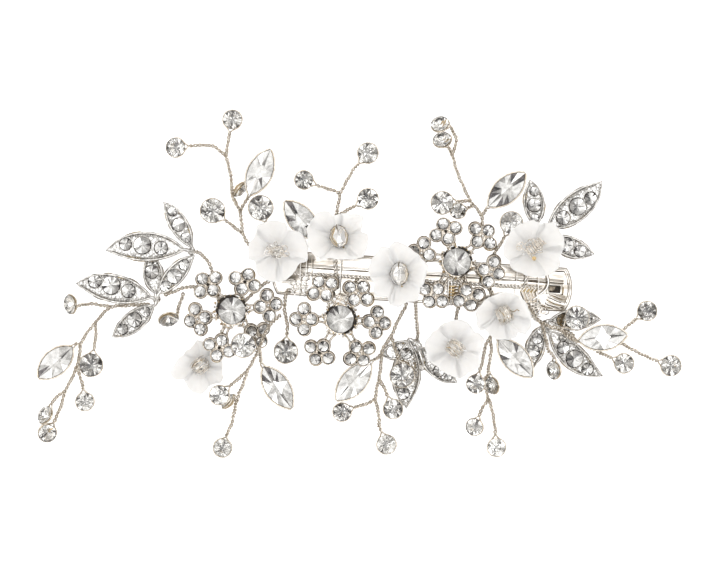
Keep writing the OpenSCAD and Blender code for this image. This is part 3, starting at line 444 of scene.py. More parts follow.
def grid_faces(rows, cols, wrap_rows=False, wrap_cols=False):
    """Quads over a grid of points kept row by row."""
    i, j = np.meshgrid(np.arange(rows if wrap_rows else rows - 1),
                       np.arange(cols if wrap_cols else cols - 1), indexing="ij")
    i, j = i.ravel(), j.ravel()
    i2, j2 = (i + 1) % rows, (j + 1) % cols
    return np.stack([i * cols + j, i * cols + j2, i2 * cols + j2, i2 * cols + j], axis=1)


def tube(line, radius, sides=6, closed=False):
    """A round tube along a line of points; radius is one number or one for each point."""
    line = np.asarray(line, float)
    if closed:
        t = np.roll(line, -1, axis=0) - np.roll(line, 1, axis=0)
        t /= np.linalg.norm(t, axis=1)[:, None]
        n = np.cross(t, unit(np.cross(line[1] - line[0], line[2] - line[1])))
        n /= np.linalg.norm(n, axis=1)[:, None]
        b = np.cross(t, n)
    else:
        t, n, b = frames(line)
    a = turn_in(sides)
    r = np.broadcast_to(np.asarray(radius, float), (len(line),))[:, None, None]
    verts = line[:, None, :] + r * (np.cos(a)[None, :, None] * n[:, None, :] + np.sin(a)[None, :, None] * b[:, None, :])
    quads = grid_faces(len(line), sides, wrap_rows=closed, wrap_cols=True)
    if closed:
        return verts.reshape(-1, 3), quads
    last = (len(line) - 1) * sides
    faces = [*quads, np.arange(sides)[::-1], last + np.arange(sides)]
    return verts.reshape(-1, 3), faces


def prism(upper, lower):
    """A closed block between two rows of matching corners."""
    n = len(upper)
    faces = [list(range(n)), list(range(n, 2 * n))[::-1]]
    faces += [[k, n + k, n + (k + 1) % n, (k + 1) % n] for k in range(n)]
    return np.concatenate([upper, lower]), faces


def lathe(profile, steps=24, closed=False):
    """A turned shape about Z from (radius, height) points; closed joins the last point to the first."""
    p = np.asarray(profile, float)
    a = turn_in(steps)
    verts = np.stack([p[:, None, 0] * np.cos(a), p[:, None, 0] * np.sin(a),
                      np.broadcast_to(p[:, None, 1], (len(p), steps))], axis=2)
    return verts.reshape(-1, 3), grid_faces(len(p), steps, wrap_rows=closed, wrap_cols=True)


def ball(at, r, squash=1.0, fine=False):
    """A small cast bead: a ball of 3 rings, or 5 when fine."""
    rings, steps = (5, 10) if fine else (3, 7)
    th = np.linspace(0, pi, rings + 2)[1:-1]
    a = turn_in(steps)
    verts = np.stack([np.sin(th)[:, None] * np.cos(a), np.sin(th)[:, None] * np.sin(a),
                      np.broadcast_to(np.cos(th)[:, None] * squash, (rings, steps))], axis=2).reshape(-1, 3)
    verts = np.concatenate([verts, [[0, 0, squash], [0, 0, -squash]]])
    top, under, last = len(verts) - 2, len(verts) - 1, (rings - 1) * steps
    faces = [*grid_faces(rings, steps, wrap_cols=True)]
    faces += [[top, (k + 1) % steps, k] for k in range(steps)]
    faces += [[under, last + k, last + (k + 1) % steps] for k in range(steps)]
    return verts * r + np.asarray(at, float), faces


# ---------------------------------------------------------------- stones
def round_edge(r):
    return lambda a: np.stack([r * np.cos(a), r * np.sin(a)], axis=-1)


def oval_edge(length, width):
    """A pointed oval, its tips on the X axis."""
    half, rise = length / 2, width / 2
    r = (half * half + rise * rise) / (2 * rise)
    most = asin(half / r)

    def edge(a):
        a = np.mod(a, 2 * pi)
        lower = a > pi
        t = most - 2 * most * np.where(lower, 2 * pi - a, a) / pi
        y = r * np.cos(t) - (r - rise)
        return np.stack([r * np.sin(t), np.where(lower, -y, y)], axis=-1)
    return edge


# How much of a stone's back each foil covers: the facets that meet at its middle, then the outer ones.
# All but the plain foil are darker copies of it, painted shade and dark reflections on the facets
FOILS = {
    "wired": (dict(foil=0.28, foil_grey=0.30, foil_light=0.10, foil_mid=0.16, foil_dark=0.16),) * 2,
    "leaning": (dict(foil=0.62, foil_grey=0.28, foil_light=0.04, foil_dark=0.06),) * 2,
    "pave": (dict(foil_light=0.74, foil_mid=0.18, foil_dark=0.08),
             dict(foil_light=0.64, foil=0.22, foil_mid=0.08, foil_dark=0.06)),
    "leaf": (dict(foil_light=0.62, foil_grey=0.08, foil_mid=0.18, foil_dark=0.12),
             dict(foil_light=0.56, foil=0.24, foil_mid=0.12, foil_dark=0.08)),
    "centre": (dict(foil_mid=0.82, foil_light=0.10, foil_dark=0.08),
               dict(foil_mid=0.68, foil_light=0.14, foil_grey=0.04, foil_dark=0.14)),
    "navette": (dict(foil_light=0.44, foil_mid=0.36, foil=0.12, foil_dark=0.08),
                dict(foil_light=0.52, foil=0.14, foil_mid=0.26, foil_dark=0.08)),
}


def cut_stone(piece, place, edge, crown, back, mix, spin=0.0, table=0.55, glass="set_crystal", band=0.05,
              gilt=None, collar=0.24, warm=0, keel=0.0):
    """A brilliant cut stone with its girdle at z = 0: a glass crown over a foiled back.
    gilt is how deep the gold lacquered shell behind the foil reaches; warm facets show gold.
    keel is the half length of the ridge that a long stone has in place of a point."""
    k = np.arange(8) * pi / 4
    h = pi / 8
    share = (1 + table) / 2
    round_off = np.array([[cos(spin), sin(spin)], [-sin(spin), cos(spin)]])
    t = level(edge(k) * table, crown)
    s = level(edge(k + h) * (share + 0.02), crown * (1 - share) / (1 - table) * 0.98)
    g = level(edge(np.arange(16) * h), 0)
    u = g - [0, 0, band]
    low = level(edge(k + h) * 0.34, -band - (back - band) * 0.70)
    verts = np.concatenate([t, s, g, u, low, [[keel, 0, -back], [-keel, 0, -back]]])
    verts[:, :2] = verts[:, :2] @ round_off
    T, S, G, U, L, C = 0, 8, 16, 32, 48, 56
    top = [list(range(8))]
    wall, under, inner = [], [], []
    for i in range(8):
        j, g0, g1, g2 = (i + 1) % 8, 2 * i, 2 * i + 1, (2 * i + 2) % 16
        top += [[T + i, S + i, T + j], [S + i, G + g0, G + g1], [S + i, G + g1, G + g2],
                [T + i, S + (i - 1) % 8, G + g0], [T + i, G + g0, S + i]]
        wall += [[G + g0, U + g0, U + g1, G + g1], [G + g1, U + g1, U + g2, G + g2]]
        under += [[L + i, U + g1, U + g0], [L + i, U + g2, U + g1]]
        here, there = [C + (keel > 0 and cos(angle) < 0) for angle in (k[i] + h, k[i] - h)]
        inner += [[here, L + i, U + g0], [there, U + g0, L + (i - 1) % 8]]
        if here != there:
            inner.append([there, here, U + g0])
    foils = {}
    # each back facet takes one foil at random by the mix's shares; all but the plain foil paint shade and dark
    # reflections
    for faces, shares in ((inner[warm:], FOILS[mix][0]), (wall + under, FOILS[mix][1])):
        picks = rng.choice(len(shares), len(faces), p=list(shares.values()))
        for face, pick in zip(faces, picks):
            foils.setdefault(list(shares)[pick], []).append(face)
    if warm:
        foils["gilt_back"] = inner[:warm]
    piece.add_groups(place(verts), [(top, glass), *[(f, look) for look, f in foils.items()]], soft=False)
    if gilt:
        # the lacquer on the outside of the foil: a collar at the girdle, then the cone
        a = np.arange(16) * h
        rows = []
        for f, z in ((1.012, 0.0), (1.025, -0.06), (1.025, -collar), (0.94, -collar - 0.05), (0.91, -collar - 0.12)):
            rows.append(level(edge(a) * f, z))
        start = collar + 0.16
        for f in (0.62, 0.34):
            rows.append(level(edge(a) * f, -start - (gilt - start + 0.06) * (1 - f) ** 0.96))
        skin = np.concatenate(rows + [[[0, 0, -gilt - 0.07]]])
        skin[:, :2] = skin[:, :2] @ round_off
        last = (len(rows) - 1) * 16
        quads = grid_faces(len(rows), 16, wrap_cols=True)
        tip = [[len(rows) * 16, last + (i + 1) % 16, last + i] for i in range(16)]
        piece.add_groups(place(skin), [(quads[:32], "gilt_rim"), ([*quads[32:], *tip], "gilt_back")], soft=False)


# ---------------------------------------------------------------- materials
LOOKS = {}


def fill(node, values):
    """Gives a node's sockets their uniform values, or links one where a source stands for its value."""
    for name, value in values.items():
        if isinstance(value, bpy.types.NodeSocket):
            node.id_data.links.new(value, node.inputs[name])
        else:
            node.inputs[name].default_value = value
    return node


def add_node(tree, kind, values=None):
    return fill(tree.nodes.new(kind), values or {})


def start(name):
    """A new material's tree and its shader."""
    material = LOOKS[name] = bpy.data.materials.new(name)
    material.use_nodes = True
    tree = material.node_tree
    tree.nodes.clear()
    shader = add_node(tree, "ShaderNodeBsdfPrincipled")
    add_node(tree, "ShaderNodeOutputMaterial", {"Surface": shader.outputs["BSDF"]})
    return tree, shader


def noise(tree, size, detail=3.0, rough=0.55, stretch=(1, 1, 1)):
    """A noise whose grains are about size mm across."""
    where = add_node(tree, "ShaderNodeTexCoord").outputs["Object"]
    scale = add_node(tree, "ShaderNodeMapping", {"Vector": where, "Scale": stretch}).outputs["Vector"]
    return add_node(tree, "ShaderNodeTexNoise", {"Vector": scale, "Scale": 1 / (size * MM), "Detail": detail,
                                                 "Roughness": rough}).outputs["Fac"]


def cells(tree, size):
    """A field of round-edged grains about size mm across, 0 at their middles."""
    where = add_node(tree, "ShaderNodeTexCoord").outputs["Object"]
    return add_node(tree, "ShaderNodeTexVoronoi", {"Vector": where, "Scale": 1 / (size * MM)}).outputs["Distance"]


def ramp(tree, source, *stops):
    """A colour that follows a source through (position, colour) stops."""
    node = add_node(tree, "ShaderNodeValToRGB", {"Fac": source})
    line = node.color_ramp.elements
    for element, (at, colour) in zip(line, (stops[0], stops[-1])):
        element.position = at
        element.color = (*colour, 1)
    for at, colour in stops[1:-1]:
        line.new(at).color = (*colour, 1)
    return node.outputs["Color"]


def spread(tree, source, low, high):
    """A number between low and high that follows a source."""
    return add_node(tree, "ShaderNodeMapRange", {"Value": source, "From Min": 0.3, "From Max": 0.7, "To Min": low,
                                                 "To Max": high}).outputs["Result"]


def dent(tree, source, depth, strength=1.0):
    """Bump from a source, depth in mm."""
    return add_node(tree, "ShaderNodeBump", {"Height": source, "Distance": depth * MM,
                                             "Strength": strength}).outputs["Normal"]


def for_lens(tree, lens, rest):
    """One shader for the lens alone and another for everything else."""
    seen = add_node(tree, "ShaderNodeLightPath").outputs["Is Camera Ray"]
    return add_node(tree, "ShaderNodeMixShader", {"Fac": seen, 1: rest, 2: lens}).outputs[0]


def metal(name, dark, light, rough, grain, depth, stretch=(1, 1, 1), polish=1.0):
    tree, shader = start(name)
    return fill(shader, {
        "Metallic": polish,
        "Base Color": ramp(tree, noise(tree, grain * 4, 3, 0.6, stretch), (0.34, dark), (0.62, light)),
        "Roughness": spread(tree, noise(tree, grain * 2.3, 4, 0.6, stretch), *rough),
        "Normal": dent(tree, noise(tree, grain, 4, 0.6, stretch), depth)})


def glass(name, tint_a, tint_b, ior=1.57, rough=(0.0, 0.02)):
    tree, shader = start(name)
    fill(shader, {"Transmission Weight": 1.0, "IOR": ior,
                  "Base Color": ramp(tree, noise(tree, 1.7, 2), (0.35, tint_a), (0.65, tint_b)),
                  "Roughness": spread(tree, noise(tree, 0.8, 3), *rough)})


metal("rim_silver", (0.42, 0.41, 0.395), (0.84, 0.83, 0.81), (0.08, 0.22), 0.22, 0.014)
# grains light in their middles and darker towards their edges, where the bump sinks them: partly patina in the hollows,
# partly painted shade
for name, size, dark, light, depth in (("cast_silver", 0.46, (0.56, 0.495, 0.41), (0.95, 0.90, 0.83), -0.09),
                                       ("petal_silver", 0.40, (0.21, 0.175, 0.135), (0.66, 0.61, 0.545), -0.09),
                                       ("leaf_silver", 0.42, (0.40, 0.39, 0.375), (0.84, 0.83, 0.815), -0.10)):
    tree, shader = start(name)
    grains = cells(tree, size)
    fill(shader, {"Metallic": 1.0, "Base Color": ramp(tree, grains, (0.36, light), (0.74, dark)),
                  "Roughness": spread(tree, noise(tree, 0.4, 4), 0.14, 0.34), "Normal": dent(tree, grains, depth, 0.9)})
metal("seam_shadow", (0.07, 0.055, 0.04), (0.32, 0.27, 0.21), (0.25, 0.45), 0.25, 0.02, polish=0.8)
metal("polished_plate", (0.36, 0.325, 0.28), (0.88, 0.85, 0.81), (0.05, 0.20), 0.45, 0.012, (0.12, 1, 1))
metal("clasp_steel", (0.62, 0.60, 0.57), (0.84, 0.82, 0.79), (0.16, 0.30), 0.4, 0.006, (0.2, 1, 1))
metal("wire_champagne", (0.52, 0.47, 0.40), (0.78, 0.735, 0.665), (0.12, 0.30), 0.16, 0.014)
metal("wire_shade", (0.30, 0.258, 0.205), (0.54, 0.48, 0.405), (0.14, 0.34), 0.16, 0.014)
# painted beige reflections in the plate
metal("plate_beige", (0.20, 0.174, 0.142), (0.40, 0.362, 0.315), (0.08, 0.22), 0.5, 0.012, (0.3, 1, 1))
metal("wire_grey", (0.44, 0.41, 0.37), (0.70, 0.67, 0.62), (0.12, 0.30), 0.3, 0.012)
metal("winding_cream", (0.70, 0.63, 0.54), (0.97, 0.94, 0.90), (0.16, 0.34), 0.22, 0.012)
metal("winding_white", (0.88, 0.86, 0.83), (0.98, 0.97, 0.955), (0.16, 0.34), 0.22, 0.012)
metal("bead_white", (0.84, 0.835, 0.83), (0.93, 0.925, 0.92), (0.10, 0.25), 0.6, 0.008, polish=0.25)
metal("gilt_back", (0.34, 0.245, 0.125), (0.66, 0.52, 0.32), (0.16, 0.32), 0.3, 0.012)
# dark gilt for stone collars and fine wire, also used as painted shade and dark reflections along edges and beside
# wires
metal("gilt_rim", (0.11, 0.075, 0.03), (0.46, 0.35, 0.18), (0.12, 0.30), 0.3, 0.012)
metal("foil", (0.81, 0.805, 0.79), (0.97, 0.965, 0.955), (0.05, 0.16), 0.25, 0.002)
# darker copies of the foil: painted shade and dark reflections on a stone's back facets
metal("foil_grey", (0.51, 0.505, 0.49), (0.73, 0.722, 0.705), (0.05, 0.16), 0.25, 0.002)
metal("foil_mid", (0.205, 0.20, 0.19), (0.365, 0.358, 0.345), (0.08, 0.22), 0.25, 0.004)
metal("foil_light", (0.345, 0.34, 0.33), (0.475, 0.468, 0.456), (0.06, 0.18), 0.25, 0.003)
metal("foil_dark", (0.02, 0.019, 0.02), (0.11, 0.10, 0.098), (0.05, 0.16), 0.25, 0.002)
# painted black shade and dark reflections: near-black metal put in the gaps round stones, in the catch slot and on a
# few grains
fill(metal("dark_recess", (0.008, 0.007, 0.006), (0.045, 0.036, 0.028), (0.35, 0.6), 0.12, 0.02, polish=0.0),
     {"Specular IOR Level": 0.15})
glass("crystal", (0.975, 0.975, 0.972), (0.996, 0.992, 0.984))
glass("set_crystal", (0.980, 0.978, 0.972), (0.996, 0.993, 0.987), 1.3)
glass("bead_crystal", (1.0, 0.975, 0.93), (0.98, 0.985, 1.0), 1.38, (0.0, 0.05))
glass("amber", (0.95, 0.66, 0.28), (1.0, 0.82, 0.50), 1.52, (0.02, 0.08))
# the amber shade of the side facets of the cut beads
metal("bead_gold", (0.66, 0.50, 0.27), (0.94, 0.84, 0.66), (0.10, 0.30), 0.5, 0.006, polish=0.3)

tree, shader = start("porcelain")
fill(shader, {"Base Color": ramp(tree, noise(tree, 2.6, 4), (0.3, (0.81, 0.80, 0.785)), (0.7, (0.87, 0.862, 0.85))),
              "Roughness": spread(tree, noise(tree, 0.6, 3), 0.42, 0.62), "Subsurface Weight": 0.3,
              "Subsurface Radius": (1.0, 0.9, 0.8), "Subsurface Scale": 0.0007,
              "Normal": dent(tree, noise(tree, 0.35, 4), 0.02)})

tree, shader = start("studio_floor")
fill(shader, {"Base Color": ramp(tree, noise(tree, 40, 3), (0.3, (0.93, 0.93, 0.93)), (0.7, (0.95, 0.95, 0.95))),
              "Roughness": spread(tree, noise(tree, 12, 3), 0.7, 0.9), "Emission Color": (1, 1, 1, 1),
              "Emission Strength": 0.8})
# the sweep is burnt out to white for the lens alone, and the metal mirrors it as plain paper
paper = ramp(tree, noise(tree, 40, 3), (0.3, (0.90, 0.895, 0.885)), (0.7, (0.93, 0.925, 0.915)))
plain = add_node(tree, "ShaderNodeBsdfDiffuse", {"Color": paper})
fill(tree.nodes["Material Output"], {"Surface": for_lens(tree, shader.outputs["BSDF"], plain.outputs["BSDF"])})


# ---------------------------------------------------------------- twisted wires
def strands(line, end_side=None):
    """The two strands of a twisted pair along a line; end_side is where the first one points at the end.
    A fourth number tells how far to the side of the line the strand lies, 0.001 at most."""
    t, n, b = frames(line)
    s = travel(line)
    drift = rng.uniform(0, 6.28)
    angle = 2 * pi * s / PITCH + 0.7 * np.sin(s * 1.3 + drift)
    if end_side is not None:
        angle += atan2(end_side @ b[-1], end_side @ n[-1]) - angle[-1]
    else:
        angle += drift
    swell = OFFSET * (1 + 0.12 * np.sin(s * 2.1 + drift))
    found = []
    for half in (0, pi):
        path = beside(line, swell * np.cos(angle + half), n, swell * np.sin(angle + half), b)
        found.append(level(path, 0.001 * np.abs(np.cos(angle))))
    return found


def strand(piece, path, look):
    """One strand of a twisted pair, fuller where it lies beside the other one, with painted shade where it dips over or
    under it.
    """
    aside = path[:, 3] * 1000
    verts, faces = tube(path[:, :3], STRAND * (0.82 + 0.30 * aside))
    quads = np.array(faces[:-2])
    low = aside[np.arange(len(quads)) // 6] < DIP
    # the dipping parts take a darker look as painted shade: cream under white, wire_shade under champagne
    shade = "winding_cream" if look == "winding_white" else "wire_shade"
    piece.add_groups(verts, [(quads[~low], look), ([*quads[low], *faces[-2:]], shade)])


def wavy(line):
    """A hand-bent line: small bends that die out at both ends."""
    t, n, b = frames(line)
    s = travel(line)
    fade = np.minimum(1, np.minimum(s, s[-1] - s) / 1.2)
    p, q = rng.uniform(0, 6.28, 2)
    return beside(line, fade * 0.05 * np.sin(2.3 * s + p), n, fade * 0.05 * np.sin(3.1 * s + q), b)


def twisted(piece, route, look="wire_champagne"):
    for path in strands(wavy(smooth(route, 0.13))):
        strand(piece, path, look)


def stem(piece, route, middle, way, side, edge, blend, arc):
    """A stem whose strands part at the edge of a stone and run on along arc(1) and arc(-1).
    way points from the stone's middle to the stem."""
    room = way @ (vec(*route[-1]) - middle) - edge
    outer, inner = middle + way * (edge + max(0.25, min(0.8, room / 2))), middle + way * edge
    line = wavy(smooth([*route, outer, outer * blend + inner * (1 - blend)], 0.18))
    for half, sign in zip(strands(line, end_side=side), (1, -1)):
        strand(piece, even(smooth(np.concatenate([half[:-1], arc(sign)]), 0.14), 0.14), "wire_champagne")


def stem_round(piece, row):
    """A stem whose strands run round the girdle of a round stone."""
    middle, (radius, bearing, angle, route) = vec(*row[0]), row[1:]
    axis = leaning(middle, bearing, angle).turn @ Z
    away = vec(*route[-1]) - middle
    way = unit(away - axis * (axis @ away))
    side = np.cross(axis, way)

    def arc(sign):
        a = np.radians(np.arange(24.0, 181, 12.0))
        reach = radius * 0.96 + 0.10 + 0.03 * np.sin(a * 3 + rng.uniform(0, 6))
        line = middle + reach[:, None] * (np.cos(a)[:, None] * way + sign * np.sin(a)[:, None] * side)
        # every fourth point counts as dipping, so that stretch of strand is painted in shade
        return level(line - axis * (0.40 + 0.07 * sign), 0.0008 - 0.0004 * (np.arange(len(a)) % 4 == 2))

    stem(piece, route, middle, way, side, radius + GAP, 0.45, arc)


def stem_oval(piece, row):
    """A stem whose strands run along both sides of a pointed stone, from tip to tip."""
    middle, (length, width, turn, bearing, angle, route) = vec(*row[0]), row[1:]
    place = leaning(middle, bearing, angle).spun(turn)
    axis, up = place.turn @ X, place.turn @ Z
    way = axis * np.sign(axis @ (vec(*route[-1]) - middle))
    side = np.cross(up, way)

    def arc(sign):
        xy = oval_edge(length + 0.5, width + 0.42)(np.linspace(0.04, 0.985, 22) * pi)
        line = middle + xy[:, :1] * way + sign * xy[:, 1:] * side
        return level(line - up * (0.12 + 0.05 * sign), 0.0007)

    stem(piece, route, middle, way, side, length / 2 + 2 * GAP, 0.4, arc)


def sprigs():
    for name, (wires, rounds, navettes) in SPRIGS.items():
        wire = Piece("twisted_stems_" + name, "wire", "sprig_" + name)
        stones = Piece("wired_stones_" + name, "crystal", "sprig_stones_" + name)
        for route in wires:
            twisted(wire, route)
        for row in rounds:
            stem_round(wire, row)
            at, radius, bearing, angle = row[:4]
            tilt = sin(radians(angle))
            cut_stone(stones, leaning(at, bearing, angle), round_edge(radius), radius * CROWN,
                      radius * rng.uniform(0.72, 0.77), "leaning" if tilt > 0.3 else "wired",
                      spin=rng.uniform(0, 0.78), glass="crystal", gilt=radius * BACK - 0.08,
                      collar=0.24 + 0.36 * tilt, warm=2 if 0.3 < tilt < 0.9 else 0)
        for row in navettes:
            stem_oval(wire, row)
            at, length, width, turn, bearing, angle = row[:6]
            cut_stone(stones, leaning(at, bearing, angle).spun(turn), oval_edge(length, width),
                      rng.uniform(0.20, 0.28), rng.uniform(0.26, 0.34), "navette", table=0.46, gilt=1.42, keel=1.6)
        wire.make()
        stones.make()


# ---------------------------------------------------------------- barrette and windings
def coil(piece, a, b, radius, turns, r, look, squash):
    """Wire wound round the line from a to b; squash flattens it across Z."""
    a, b = vec(*a), vec(*b)
    way = unit(b - a)
    n = unit(np.cross(way, Z))
    m = np.cross(n, way) * squash
    t = np.arange(int(turns * 14) + 1) / 14.0
    swell = radius * (1 + 0.06 * np.sin(t * 4.1 + a[0]))
    line = a + (b - a) * (t / turns)[:, None]
    piece.add(tube(beside(line, swell * np.cos(2 * pi * t), n, swell * np.sin(2 * pi * t), m), r), look)


def curls(piece, count, box, z, size, look, r):
    """Small loose loops of fine wire scattered over a box of (x0, x1, y0, y1), on a height function."""
    for _ in range(count):
        x, y = rng.uniform(*box[:2]), rng.uniform(*box[2:])
        w, tilt, start = rng.uniform(*size), rng.uniform(-0.6, 0.6), rng.uniform(0, 6.28)
        t = np.linspace(start, start + rng.uniform(3.4, 6.6), 14)
        grow = 1 + 0.08 * (t - start)
        loop = np.column_stack([x + w * grow * np.cos(t), y + w * grow * np.sin(t) * 0.8,
                                z(x) + 0.12 * w + tilt * w * np.cos(t) * 0.5 + 0.03 * (t - start)])
        piece.add(tube(loop, r, 5), look)


def winding(piece, x0, x1, look, r, pitch, slant):
    """A wire wound round the plate and the stem on it."""
    turns, n = max(1, round((x1 - x0) / pitch)), 26
    k = np.arange(turns * n + 1)
    a = 2 * pi * k / n
    lean = slant * (1 if slant > 1 else np.sin(0.9 * np.floor(k / n) + x0))
    x = x0 + (x1 - x0) * k / (turns * n) + 0.02 * np.sin(a * 0.37 + x0) + lean * np.cos(a) * np.minimum(1, k / n)
    wide, low, high = PLATE_W / 2 + GAP + r, -PLATE_T - GAP - r, STEM_HIGH + r
    y = wide * np.sign(np.cos(a)) * np.abs(np.cos(a)) ** SQUARED
    z = (high + low) / 2 + (high - low) / 2 * np.sign(np.sin(a)) * np.abs(np.sin(a)) ** SQUARED
    piece.add(tube(even(on_barrette(np.column_stack([x, y, plate_z(x) + z])), 0.3), r), look)


def windings():
    piece = Piece("wound_wire", "wire", "binding_wire")
    for x0, x1, look, r, pitch, slant in (
            (-24.7, -22.4, "winding_white", 0.11, 1.1, 0.25), (-16.6, -15.7, "winding_white", 0.10, 0.9, 0.25),
            (5.1, 6.3, "winding_white", 0.13, 0.55, 0.25), (18.5, 19.7, "winding_white", 0.08, 1.2, 1.1),
            (22.9, 24.3, "winding_white", 0.09, 1.4, 1.1), (-22.3, -21.9, "winding_cream", 0.08, 0.4, 0.0)):
        winding(piece, x0, x1, look, r, pitch, slant)
    piece.make()


def base():
    piece = Piece("twisted_base", "wire", "base_wires")
    for k, route in enumerate([SPINE, *ARMS]):
        twisted(piece, route, "winding_white" if k in (0, 2, 3, 4, 5, 11) else "wire_champagne")
    piece.make()


def plate_edge(inset):
    """The plate's outline in plan; a negative inset lies inside its edge."""
    half = PLATE_W / 2
    reach = sqrt(END_R ** 2 - half ** 2)
    arc = np.linspace(atan2(half, reach), -atan2(half, reach), 22)
    right = np.column_stack([PLATE_L / 2 - END_R + END_R * np.cos(arc), END_R * np.sin(arc)])
    line = even(np.concatenate([right, -right, right[:1]]), 0.5)[:-1]
    way = np.roll(line, -1, axis=0) - np.roll(line, 1, axis=0)
    way /= np.linalg.norm(way, axis=1)[:, None]
    return line + inset * np.column_stack([-way[:, 1], way[:, 0]])


def along_plate(points):
    """(x, y, rise) points laid on the plate."""
    p = np.asarray(points, float)
    return on_barrette(level(p[:, :2], plate_z(p[:, 0]) + p[:, 2]))


def plate_trim():
    """The rolled lip round the plate, the lines along it, and the lining of the catch slot, with painted shade and dark
    reflections under the lip, in the groove and in the slot.
    """
    piece = Piece("plate_lip", "plate_metal")

    def run(points, r, look, sides=6, closed=False):
        piece.add(tube(along_plate(points), r, sides, closed), look)

    # the lip, and a line of painted shade under it
    for inset, r, up, look in ((-0.22, 0.24, 0.0, "polished_plate"), (0.0, 0.12, -0.16, "seam_shadow")):
        run(level(plate_edge(inset), up), r, look, 8, True)
    # inside the lip at the bare end the shadow swells and fades
    line = plate_edge(-0.72)
    near = line[line[:, 0] > 24.5]
    near = near[np.argsort(-near[:, 1])]
    run(level(near, -0.02), 0.05 + 0.10 * np.abs(np.sin(np.linspace(0, 1, len(near)) * 9.0)), "seam_shadow")
    # the full corners of the pressed ends
    y = np.linspace(-PLATE_W / 2, PLATE_W / 2, 40)
    inner = PLATE_L / 2 - 5.6 + np.sqrt(5.6 ** 2 - y ** 2) - 0.3
    outer = PLATE_L / 2 - END_R + np.sqrt(END_R ** 2 - y ** 2)
    faces = [*grid_faces(4, 40, wrap_rows=True), [0, 40, 80, 120], [39, 159, 119, 79]]
    for end in (-1, 1):
        ring = [level(np.column_stack([end * x, y]), -d)
                for x, d in ((inner, 0.012), (outer, 0.012), (outer, PLATE_T), (inner, PLATE_T))]
        piece.add((np.concatenate(ring), faces), "polished_plate", along_plate, soft=False)
    # the groove, lined with a painted dark reflection, and the beads beside it
    x = np.linspace(-29.2, 28.2, 190)
    for y, up, r, look in ((1.225, -0.20, 0.15 + 0.05 * np.sin(x * 0.9), "seam_shadow"),
                           (1.72, -0.04, 0.22, "polished_plate"),
                           (-3.0, -0.03, 0.07 + 0.03 * np.sin(x * 0.7), "winding_cream")):
        run(level(np.column_stack([x, y + 0.03 * np.sin(x * 0.8)]), up), r, look)

    def frame_of(grow):
        """The corners of the catch slot, moved out."""
        x0, x1, y0, y1 = SLOT[0] - grow, SLOT[1] + grow, -SLOT[2] - grow, SLOT[2] + grow
        return [(x0, y0), (x1, y0), (x1, y1), (x0, y1)]

    # painted shade that lines the slot, then a blacker painted shade in it, which leaves the left corner bright
    dark = [(25.3, -0.7), (25.75, -0.3), (26.1, -0.5), (26.5, -0.15), (26.7, 0.5), (27.5, 0.52), (27.52, -0.52),
            (25.9, -0.55)]
    for corners, depths, look in ((frame_of(0), (0.22, 0.7), "seam_shadow"), (dark, (0.10, 0.3), "dark_recess")):
        piece.add(prism(*[level(corners, -d) for d in depths]), look, along_plate, soft=False)
    # its pressed frame with a line of painted black shade inside it, and a gilt wire end lying beside it
    for grow, up, r, look in ((0.08, -0.06, 0.13, "dark_recess"), (0.42, -0.02, 0.15, "polished_plate")):
        corners = frame_of(grow)
        run(even(level([*corners, corners[0]], up), 0.25)[:-1], r, look, closed=True)
    end = SLOT[1]
    run([(end + 0.62, 0.5, 0.1), (end + 0.7, -0.2, 0.12), (end + 0.66, -1.1, 0.1)], 0.14, "gilt_rim")
    piece.make()


